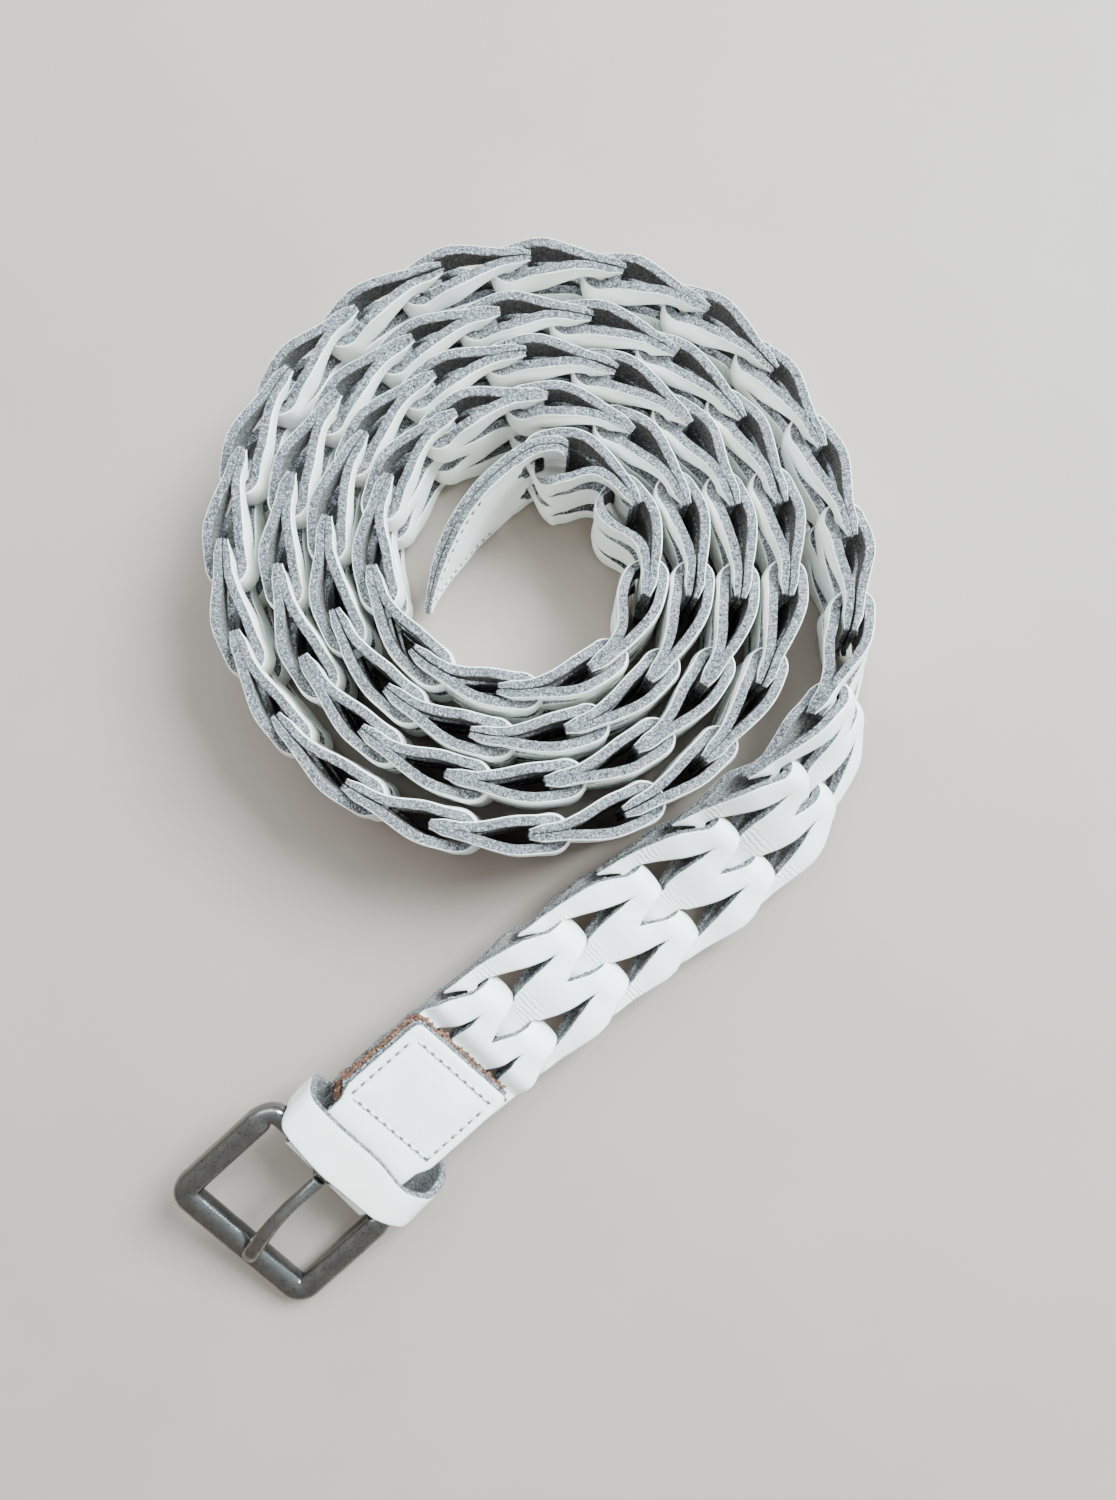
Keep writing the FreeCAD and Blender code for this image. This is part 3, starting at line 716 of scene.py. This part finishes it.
def shade_bead_material():
    n = Nodes("needle_hole_painted_shade")
    # very dark colours: painted shade inside the needle holes
    depth = n.noise(n.place(), 2.5, 2.0)
    colour = n.mix(n.spread(depth, 0.35, 0.65), (0.05, 0.05, 0.055), (0.16, 0.155, 0.15))
    return n.finish(colour, 0.9)


THREAD = thread_material()
HOLE_SHADE = shade_bead_material()


# ---------------- the pointed tip

TIP_POINT, TIP_TAIL = -35.0, 9.0
TIP_PLY = 1.45
TIP_MIDDLE = 0.06 + TIP_PLY / 2
SEAM_INSET = 1.7


def tip_half_width(s):
    u = np.clip((-9 - np.asarray(s, float)) / 26, 0, 1)
    return 0.5 + 12 * (1 - u ** 1.5)


def tip_outline():
    side = [(TIP_TAIL, 9.6), (TIP_TAIL - 0.2, 11.0), (TIP_TAIL - 0.9, 12.0), (TIP_TAIL - 2.2, 12.4)]
    side += [(s, float(tip_half_width(s))) for s in np.arange(4.0, -34.0, -1.5)]
    side += [(-34.4, 1.3), (-34.85, 0.7)]
    other = [(s, -v) for s, v in reversed(side)]
    return np.array(side + [(TIP_POINT, 0.0)] + other)


def tip_holes():
    """Where the first link's heads come through: each opening starts in a narrow cut."""
    holes = []
    for wide in (1, -1):
        hole = [(-2.6, 5.9), (-1.4, 7.9), (-0.7, 9.3), (0.2, 9.65), (3.4, 9.65), (4.1, 9.1), (4.1, 3.2),
                (3.4, 2.6), (0.2, 2.6), (-0.7, 2.9), (-1.4, 4.4)]
        holes.append(np.array([(s, wide * v) for s, v in hole]))
    return holes


tip_blank = Blank(tip_outline(), tip_holes(), 0.4 if fine else 0.9, 0.9 if fine else 1.8)


def tip_place(face, seed):
    def place(u, v, h, depth):
        seam = 0.22 * np.exp(-((depth - SEAM_INSET) / 0.35) ** 2) * (u < -10)
        padded = 0.16 * ease((depth - 1.9) / 2.5) * ease((-2 - u) / 8)
        worn = 0.12 * noise(u * 0.2, v * 0.2, face, seed)
        ripples = 0.12 * np.sin(v * 2.6 + 3 * noise(u * 0.3, v * 0.3, 2.0, seed)) * ease((u + 9) / 6)
        top = h + padded + worn - np.where(h > 0, seam, 0) + np.where(h > 0, ripples, 0)
        skived = 1 - 0.5 * ease((-20 - u) / 15)
        return belt_point(u, face * (TIP_MIDDLE + top) * skived, v)
    return place


for name, face, node in (("tip_inner_leather", -1, "tip_front"), ("tip_outer_leather", 1, "tip_back")):
    ply = leather_sheet(name, tip_blank, tip_place(face, 20 + face), TIP_PLY, SMOOTH_LEATHERS, seed=20 + face)
    hand_over(ply, node, "tip")


def tip_seam_line():
    """The seam as even points (s, wide) round the pointed end."""
    s = np.arange(-11.0, -33.0, -0.25)
    slope = np.gradient(tip_half_width(s), s)
    run = 1 / np.sqrt(1 + slope ** 2)
    upper = np.stack([s + SEAM_INSET * slope * run, tip_half_width(s) - SEAM_INSET * run], 1)
    upper = upper[upper[:, 1] > 0.2]
    line = np.concatenate([upper, [(upper[-1, 0] - 0.3, 0.0)], upper[::-1] * (1, -1)])
    length = np.concatenate([[0.0], np.cumsum(np.linalg.norm(np.diff(line, axis=0), axis=1))])
    at = np.arange(1.0, length[-1], 2.15)
    return np.interp(at, length, line[:, 0]), np.interp(at, length, line[:, 1])


seam_s, seam_wide = tip_seam_line()
tip_threads = []
for face in (-1, 1):
    level = (TIP_MIDDLE + TIP_PLY / 2 - 0.04) * (1 - 0.5 * ease((-20 - seam_s) / 15))
    middles = belt_point(seam_s, face * level, seam_wide)
    alongs = unit(np.gradient(middles, axis=0))
    outwards = belt_axes(seam_s)[1] * face
    for middle, along, outward in zip(middles, alongs, outwards):
        tip_threads.append((middle, along, outward, 2.15))
stitch_row("tip_thread", tip_threads, "tip_stitching", "tip")


# ---------------- frames of the buckle end

def turn(axis, degrees):
    return Matrix.Rotation(math.radians(degrees), 4, axis)


def shift(x, y, z):
    return Matrix.Translation((x, y, z))


LAST_FOLD = FIRST_FOLD + PITCH * (LINKS - 1)
TAB_LENGTH = 31.9
TAB_PLY = 1.6
BAR_HEIGHT = 6.35
WRAP = 3.0 + TAB_PLY / 2
MOUTH_SKEW = math.radians(5)
tab_middle = belt_axes(LAST_FOLD + 10.5)[0]
heading_x, heading_y = direction(LAST_FOLD)
# X towards the buckle, Y towards the strap's lower edge, Z out of the outer face
TAB = shift(*tab_middle) @ turn("Z", math.degrees(math.atan2(heading_y, heading_x)))
TAB = TAB @ turn("X", FLAT_TWIST - 90) @ shift(0, -0.8, -5.6) @ turn("Z", 3)
KEEPER = TAB @ shift(24.3, 0.6, 6.7) @ turn("Z", 4)
BUCKLE = TAB @ shift(TAB_LENGTH, -1.15, BAR_HEIGHT) @ turn("Z", 3) @ turn("Y", 6.5)
PRONG = BUCKLE @ shift(0, 0.25, 0) @ turn("Z", 4.5)


# ---------------- the stitched tab and its filler

ROUND_BAR = math.pi * WRAP
STRIP_END = 2 * TAB_LENGTH + ROUND_BAR


def tab_outline():
    skew = math.tan(MOUTH_SKEW)
    upper = [(0.0, 8.4), (0.05, 10.6), (0.5, 11.35), (1.3, 11.7), (10, 11.75), (18.2, 11.7), (19.6, 11.2),
             (21.0, 10.5), (24.0, 10.3)]
    upper = [(u - skew * v * (u < 3), v) for u, v in upper]
    far = [(STRIP_END - u - 2 * skew * v * (u < 3), v) for u, v in reversed(upper)]
    side = upper + far
    other = [(u + 2 * skew * abs(v) * (u < 3) - 2 * skew * abs(v) * (u > STRIP_END - 3), -v)
             for u, v in reversed(side)]
    return np.array(side + other)


def on_pad(x, y):
    """Distance inside the stitched rectangle (negative outside)."""
    x = x + math.tan(MOUTH_SKEW) * y
    return np.minimum(np.minimum(x - 2.6, 18.4 - x), np.minimum(y + 10.0, 9.7 - y))


def tab_place(u, v, h, depth):
    """u runs from the mouth over the pad to the bar, round it and back underneath."""
    under = u > TAB_LENGTH + ROUND_BAR / 2
    x = np.where(under, STRIP_END - u, u)
    pad = on_pad(x, v)
    seam = 0.30 * np.exp(-(pad / 0.5) ** 2) * (h > 0)
    swell = 0.25 * ease((pad - 0.4) / 4.0)
    pressed = -0.25 * np.exp(-depth / 1.4)
    uneven = 0.15 * noise(u * 0.13, v * 0.13, 1.0, 61)
    # the leather is pared thin where it hugs the bar
    pared = ease((np.minimum(x, TAB_LENGTH) - 22.5) / 9.0)
    h = h * (1 - 0.4 * pared) + (swell - seam + pressed + uneven) * (1 - pared)
    angle = np.clip((u - TAB_LENGTH) / WRAP, 0, math.pi)
    radius = WRAP - 0.9 * pared + h
    bent_x = TAB_LENGTH + radius * np.sin(angle)
    z = BAR_HEIGHT + radius * np.cos(angle)
    flat = (u < TAB_LENGTH) | (u > TAB_LENGTH + ROUND_BAR)
    return in_frame(TAB, np.where(flat, x, bent_x), v, z)


middle_of_strip = STRIP_END / 2
PRONG_OPENING = [(-12.2, -1.6), (-11.2, -2.4), (11.2, -2.4), (12.2, -1.6),
                 (12.2, 1.6), (11.2, 2.4), (-11.2, 2.4), (-12.2, 1.6)]
opening = np.array([(middle_of_strip + du, -0.9 + dv) for du, dv in PRONG_OPENING])
tab_blank = Blank(tab_outline(), [opening], 0.4 if fine else 0.9, 0.8 if fine else 1.8)
tab = leather_sheet("tab_leather", tab_blank, tab_place, TAB_PLY, SMOOTH_LEATHERS, grain_round=0.3, seed=61)
hand_over(tab, "buckle_tab", "buckle_end")


def rectangle_outline(x0, x1, y0, y1, skew=0.0, corner=1.2):
    points = [(x0 + corner, y0), (x1 - corner, y0), (x1, y0 + corner), (x1, y1 - corner), (x1 - corner, y1),
              (x0 + corner, y1), (x0, y1 - corner), (x0, y0 + corner)]
    return np.array([(x - skew * y * (x < (x0 + x1) / 2), y) for x, y in points])


def filler_sheet(name, outline, middle_z, thickness, seed, material):
    blank = Blank(outline, [], 0.4 if fine else 0.9, 1.4)

    def place(u, v, h, depth):
        torn = 0.45 * np.maximum(noise(u * 0.9, v * 0.9, 5.0, seed) - 0.1, 0) * np.exp(-depth / 0.6)
        waves = 0.2 * noise(u * 0.4, v * 0.4, 2.0, seed) * np.exp(-depth)
        return in_frame(TAB, u, v, middle_z + h + waves + torn)

    piece = leather_sheet(name, blank, place, thickness, [material], grain_round=0.2, flesh_round=0.2,
                          ragged=0.32, seed=seed)
    for polygon in piece.data.polygons:
        polygon.material_index = 0
    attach(piece, "buckle_end")
    return piece


skew = math.tan(MOUTH_SKEW)
core = filler_sheet("filler_sheet", rectangle_outline(-0.8, 19.9, -12.9, 11.3, skew), 8.35, 1.0, 71, FILLER)
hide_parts("tab_core")
filler_sheet("tab_lining", rectangle_outline(-0.35, 20.2, -12.15, 11.8, skew), 9.0, 0.5, 74, CUT)
filler_sheet("filler_block", rectangle_outline(15.0, 23.1, -11.7, 10.1), 6.0, 3.8, 72, FILLER)
filler_sheet("lower_lining", rectangle_outline(0.2, 23.5, -12.1, 11.4, skew), 3.6, 0.9, 73, FLESH)


def tab_stitches():
    step = 2.1
    along_tab = np.array((1.0, 0.0, 0.0))
    slant = np.array((-math.sin(MOUTH_SKEW), math.cos(MOUTH_SKEW), 0.0))
    stitches = []
    for face in (1, -1):
        level = BAR_HEIGHT + face * (WRAP + TAB_PLY / 2 - 0.02)
        up = np.array((0.0, 0.0, face))
        for x, y in ((3.1, -10.0), (2.2, 9.7)):
            for i in range(7):
                stitches.append((np.array((x + 1.6 + step * i, y, level)), along_tab, up, step))
        for x in (2.6, 18.4):
            for i in range(9):
                across = step * (i - 4) - 0.15
                stitches.append((np.array((x, 0, level)) + slant * across, slant, up, step))
    m = np.array(TAB)
    return [(m[:3, :3] @ middle + m[:3, 3], m[:3, :3] @ along, m[:3, :3] @ up, length)
            for middle, along, up, length in stitches]


stitch_row("tab_thread", tab_stitches(), "tab_stitching", "buckle_end")


# ---------------- the keeper

KEEPER_WIDE, KEEPER_TALL, KEEPER_PLY, KEEPER_RUN = 29.6, 10.4, 1.6, 9.0


def keeper_line(count):
    """The loop's middle surface in its own YZ plane, with a crowned top and softly rounded ends."""
    angle = np.arange(count) * 2 * math.pi / count
    half_y, half_z = KEEPER_WIDE / 2 + KEEPER_PLY / 2, KEEPER_TALL / 2 + KEEPER_PLY / 2
    y = half_y * np.sign(np.cos(angle)) * np.abs(np.cos(angle)) ** 0.42
    z = half_z * np.sign(np.sin(angle)) * np.abs(np.sin(angle)) ** 0.55
    z = z + (0.3 + 0.45 * (1 - (y / half_y) ** 2)) * ease(z / 2)
    line = np.stack([y, z], 1)
    return resample(line, np.linalg.norm(np.diff(line, axis=0), axis=1).sum() / count)


def keeper_section():
    """Across the band: run along the tab, height off the middle surface, material, cut-edge roughness."""
    run, ply = KEEPER_RUN / 2, KEEPER_PLY / 2
    outer = [(x, ply - 0.16 * (abs(x) / run) ** 6, 0, 0.0) for x in np.linspace(-run + 0.2, run - 0.2, 21)]
    front = [(run, ply * t, 2, 1.0) for t in (0.72, 0.4, 0.0, -0.4, -0.8)]
    inner = [(x, -ply, 1, 0.0) for x in np.linspace(run - 0.15, -run + 0.15, 9)]
    back = [(-run, ply * t, 2, 1.0) for t in (-0.8, -0.4, 0.0, 0.4, 0.72)]
    return outer + front + inner + back


def keeper_bow(y, x, on_top):
    """How far the loop is pushed towards the buckle: its top leans over the bar, its foot stays behind."""
    tab_side = 3.3 + 1.2 * math.exp(-((y - 9) / 4.5) ** 2) - 0.4 * float(ease((y - 11) / 5))
    buckle_side = 3.1 - 0.8 * float(ease((-y - 3) / 13)) - 1.5 * float(ease((y - 8) / 8))
    low_tab_side = 3.4 * float(ease(-y / 8)) - 0.6
    low_buckle_side = 0.4
    share = (x + KEEPER_RUN / 2) / KEEPER_RUN
    high = tab_side * (1 - share) + buckle_side * share
    low = low_tab_side * (1 - share) + low_buckle_side * share
    return high * on_top + low * (1 - on_top)


def keeper_band():
    line = keeper_line(260 if fine else 90)
    normal = unit(np.roll(line, -1, axis=0) - np.roll(line, 1, axis=0))
    normal = np.stack([normal[:, 1], -normal[:, 0]], 1)
    if (normal * line).sum() < 0:
        normal = -normal
    section = keeper_section()
    points, rims = [], []
    for (y, z), (ny, nz) in zip(line, normal):
        for x, h, _, rough in section:
            wobble = 0.16 * rough * float(noise(y * 2.2, z * 2.2, h * 3 + x, 81))
            dent = 0.10 * float(noise(y * 0.3, z * 0.3, x * 0.25, 82))
            run = x + np.sign(x) * wobble
            forward = keeper_bow(y, x, float(ease((z - 0.5) / 4.5)))
            sag = 0.5 * float(ease(z / 3.0)) * (x / KEEPER_RUN) * (1 - (y / 15.6) ** 2)
            height = h + dent
            points.append((run + forward, y + ny * height, z + nz * height + sag))
            rims.append(KEEPER_RUN / 2 - abs(x))
    points = np.array(points)
    points = in_frame(KEEPER, points[:, 0], points[:, 1], points[:, 2])
    columns = len(section)
    faces = grid_faces(len(line), columns, True, True)
    strip = [max(section[j][2], section[(j + 1) % columns][2]) for j in range(columns)]
    kinds = strip * len(line)
    piece = new_piece("keeper_leather", points, faces, kinds, [GRAIN_SHADED, FLESH, CUT])
    rim = piece.data.attributes.new("rim", "FLOAT", "POINT")
    rim.data.foreach_set("value", rims)
    return piece


# a darker, warmer copy of the ivory grain for the keeper: painted shade
GRAIN_SHADED = grain_leather("ivory_grain_keeper_painted_shade", (0.91, 0.905, 0.86), crease=False)
keeper = keeper_band()
hand_over(keeper, "keeper_loop", "keeper")


# ---------------- the buckle and its prong

def worn_metal():
    """Antique silver: dark patina in the hollows, brushed, and paler on the edges, partly worn bright where
    hands rub it and partly painted highlight.
    """
    n = Nodes("antique_metal")
    place = n.place()
    cloud = n.noise(place, 0.35, 4.0, 0.65)
    pits = n.noise(place, 2.2, 4.0, 0.7)
    geometry = n.add("ShaderNodeNewGeometry")
    edge_wear_and_highlight = n.spread(geometry.outputs["Pointiness"], 0.49, 0.56)
    patina = n.mix(n.spread(cloud, 0.3, 0.7), (0.035, 0.029, 0.026), (0.10, 0.089, 0.082))
    # convex edges go towards pale silver: partly real wear, partly painted highlight
    colour = n.mix(n.maths("MULTIPLY", edge_wear_and_highlight, 0.45), patina, (0.60, 0.58, 0.56))
    colour = n.mix(n.spread(pits, 0.57, 0.64, 0.0, 0.85), colour, (0.04, 0.035, 0.035))
    rough = n.spread(cloud, 0.3, 0.7, 0.22, 0.12)
    scratch = n.add("ShaderNodeMapping")
    n.join(place, scratch.inputs["Vector"])
    scratch.inputs["Scale"].default_value = (0.5, 3.0, 1.0)
    lines = n.noise(scratch.outputs[0], 3.0, 3.0, 0.7)
    normal = n.bump(pits, 0.25, 0.0001)
    normal = n.bump(lines, 0.12, 0.00005, normal)
    return n.finish(colour, rough, normal, Metallic=0.92)


METAL = worn_metal()
BUCKLE_LONG, BUCKLE_WIDE, BAR, BAR_DEEP = 28.7, 36.2, 5.0, 4.2


def rounded_rectangle(length, width, corner, step):
    """A closed line through the bars' middles, with arcs at its corners."""
    points = []
    corners = ((length - corner, width / 2 - corner, 0), (corner, width / 2 - corner, 90),
               (corner, -width / 2 + corner, 180), (length - corner, -width / 2 + corner, 270))
    for x, y, start in corners:
        for i in range(13):
            angle = math.radians(start + 90 * i / 12)
            points.append((x + corner * math.cos(angle), y + corner * math.sin(angle)))
    return resample(np.array(points), step)


def bar_section(count):
    """A cast bar's section: nearly flat face and rounded shoulders."""
    angle = np.arange(count) * 2 * math.pi / count
    across = np.sign(np.cos(angle)) * np.abs(np.cos(angle)) ** 0.62
    deep = np.sign(np.sin(angle)) * np.abs(np.sin(angle)) ** 0.75
    return across, deep


def buckle_ring():
    line = rounded_rectangle(BUCKLE_LONG - BAR, BUCKLE_WIDE - BAR, 2.3, 0.35 if fine else 1.0)
    normal = unit(np.roll(line, -1, axis=0) - np.roll(line, 1, axis=0))
    normal = np.stack([normal[:, 1], -normal[:, 0]], 1)
    if (normal * (line - line.mean(0))).sum() < 0:
        normal = -normal
    across, deep = bar_section(28)
    points = []
    for (x, y), (nx, ny) in zip(line, normal):
        # the front bar and the side bars taper a little towards the back bar, which is slim and round
        back = 1 - ease((x - 0.8) / 3.0)
        half_wide = BAR / 2 * (1 - 0.26 * back)
        half_deep = BAR_DEEP / 2 * (1 - 0.10 * back)
        worn = 1 + 0.015 * noise(x * 0.5, y * 0.5, across * 2, 91)
        for a, d, w in zip(across, deep, worn):
            points.append((x + nx * a * half_wide * w, y + ny * a * half_wide * w, d * half_deep * w))
    points = np.array(points)
    world = in_frame(BUCKLE, points[:, 0], points[:, 1], points[:, 2])
    faces = grid_faces(len(line), len(across), True, True)
    return new_piece("buckle_ring", world, faces, [0] * len(faces), [METAL])


ring = buckle_ring()
hand_over(ring, "buckle_frame", "buckle")


def prong_line():
    """The arm's centre line (along, up) with its half width and half height, from the eye to the tip."""
    stops = [(2.6, 3.2, 1.35, 1.0), (6.5, 3.95, 1.25, 1.2), (11.5, 4.5, 1.3, 1.25), (16.0, 4.4, 1.45, 1.2),
             (19.8, 3.9, 1.6, 1.15), (22.4, 3.4, 1.7, 1.0), (23.7, 2.95, 1.45, 0.75), (24.15, 2.7, 0.7, 0.4)]
    stops = np.array(stops)
    at = np.linspace(0, 1, len(stops))
    t = np.linspace(0, 1, 70 if fine else 30)
    made = [np.interp(t, at, stops[:, k]) for k in range(4)]
    kernel = np.ones(5) / 5
    for k in (0, 1):
        padded = np.concatenate([[made[k][0]] * 2, made[k], [made[k][-1]] * 2])
        made[k] = np.convolve(padded, kernel, "valid")
    return made


def prong_piece():
    along, up, half_wide, half_high = prong_line()
    angle = np.arange(20) * 2 * math.pi / 20
    dx, dz = np.gradient(along), np.gradient(up)
    length = np.hypot(dx, dz)
    points = []
    for x, z, tx, tz, w, h in zip(along, up, dx / length, dz / length, half_wide, half_high):
        bow = -1.5 * math.sin(math.pi * min(x / 24.0, 1.0)) ** 1.3
        for a in angle:
            rise = math.sin(a) * h
            points.append((x - tz * rise, bow + math.cos(a) * w, z + tx * rise))
    rows, columns = len(along), len(angle)
    faces = grid_faces(rows, columns, False, True)
    faces.append(tuple(range(columns)))
    faces.append(tuple((rows - 1) * columns + j for j in reversed(range(columns))))
    kinds = [0] * len(faces)
    # the eye is the flattened end of the same bar, bent round the back bar
    bend = np.arange(48) * 2 * math.pi / 48
    start = len(points)
    section = np.arange(16) * 2 * math.pi / 16
    for b in bend:
        for a in section:
            radius = 3.5 + 0.72 * math.cos(a)
            points.append((radius * math.cos(b), 1.65 * math.sin(a), radius * math.sin(b)))
    joined = grid_faces(len(bend), len(section), True, True)
    faces += [tuple(i + start for i in face) for face in joined]
    kinds += [0] * len(joined)
    points = np.array(points)
    world = in_frame(PRONG, points[:, 0], points[:, 1], points[:, 2])
    return new_piece("prong_bar", world, faces, kinds, [METAL])


prong = prong_piece()
hand_over(prong, "buckle_prong", "prong")


# ---------------- floor, light and camera

def floor_material():
    n = Nodes("pale_floor")
    place = n.place()
    soft = n.noise(place, 0.02, 3.0)
    colour = n.mix(n.spread(soft, 0.3, 0.7), (0.318, 0.248, 0.208), (0.338, 0.266, 0.225))
    return n.finish(colour, 0.7)


FLOOR_HALF, FLOOR_LEVEL = 1.5, -0.0002
floor_mesh = bpy.data.meshes.new("floor")
floor_corners = [(-FLOOR_HALF, -FLOOR_HALF, FLOOR_LEVEL), (FLOOR_HALF, -FLOOR_HALF, FLOOR_LEVEL),
                 (FLOOR_HALF, FLOOR_HALF, FLOOR_LEVEL), (-FLOOR_HALF, FLOOR_HALF, FLOOR_LEVEL)]
floor_mesh.from_pydata(floor_corners, [], [(0, 1, 2, 3)])
floor_mesh.materials.append(floor_material())
floor = bpy.data.objects.new("floor", floor_mesh)
bpy.context.scene.collection.objects.link(floor)


def area_light(name, place, target, size, power, colour):
    light = bpy.data.lights.new(name, "AREA")
    light.shape = "RECTANGLE"
    light.size, light.size_y = size
    light.energy = power
    light.color = colour
    item = bpy.data.objects.new(name, light)
    item.location = place
    item.rotation_euler = (Vector(target) - Vector(place)).to_track_quat("-Z", "Y").to_euler()
    bpy.context.scene.collection.objects.link(item)


def soft_room():
    """A pale room: bright and cool towards the window, warmer and darker away from it."""
    world = bpy.data.worlds.new("soft_room")
    bpy.context.scene.world = world
    world.use_nodes = True
    nodes, links = world.node_tree.nodes, world.node_tree.links
    coordinates = nodes.new("ShaderNodeTexCoord")
    towards = nodes.new("ShaderNodeVectorMath")
    towards.operation = "DOT_PRODUCT"
    links.new(coordinates.outputs["Generated"], towards.inputs[0])
    towards.inputs[1].default_value = (0.62, 0.42, 0.66)
    ramp = nodes.new("ShaderNodeMapRange")
    ramp.interpolation_type = "SMOOTHSTEP"
    links.new(towards.outputs["Value"], ramp.inputs["Value"])
    ramp.inputs["From Min"].default_value = -0.5
    ramp.inputs["From Max"].default_value = 0.95
    blend = nodes.new("ShaderNodeMix")
    blend.data_type = "RGBA"
    links.new(ramp.outputs[0], blend.inputs[0])
    blend.inputs[6].default_value = (0.34, 0.28, 0.23, 1.0)
    blend.inputs[7].default_value = (0.74, 0.93, 1.0, 1.0)
    links.new(blend.outputs[2], nodes["Background"].inputs[0])
    nodes["Background"].inputs[1].default_value = 1.4


area_light("window", (0.62, 0.42, 0.80), (0.0, -0.03, 0.0), (0.55, 0.55), 58.0, (0.76, 0.94, 1.0))
area_light("sky_fill", (-0.25, 0.5, 0.8), (0.0, 0.0, 0.0), (0.9, 0.9), 9.0, (0.76, 0.93, 1.0))
soft_room()

camera = bpy.data.cameras.new("photo_camera")
camera.sensor_width = 36.0
camera.lens = 36.0 * 1040 / 1500
camera.clip_start = 0.01
eye = bpy.data.objects.new("photo_camera", camera)
eye.location = (0.0068, -0.0577, 0.216)
eye.rotation_euler = (math.radians(6.0), 0, 0)
bpy.context.scene.collection.objects.link(eye)
bpy.context.scene.camera = eye
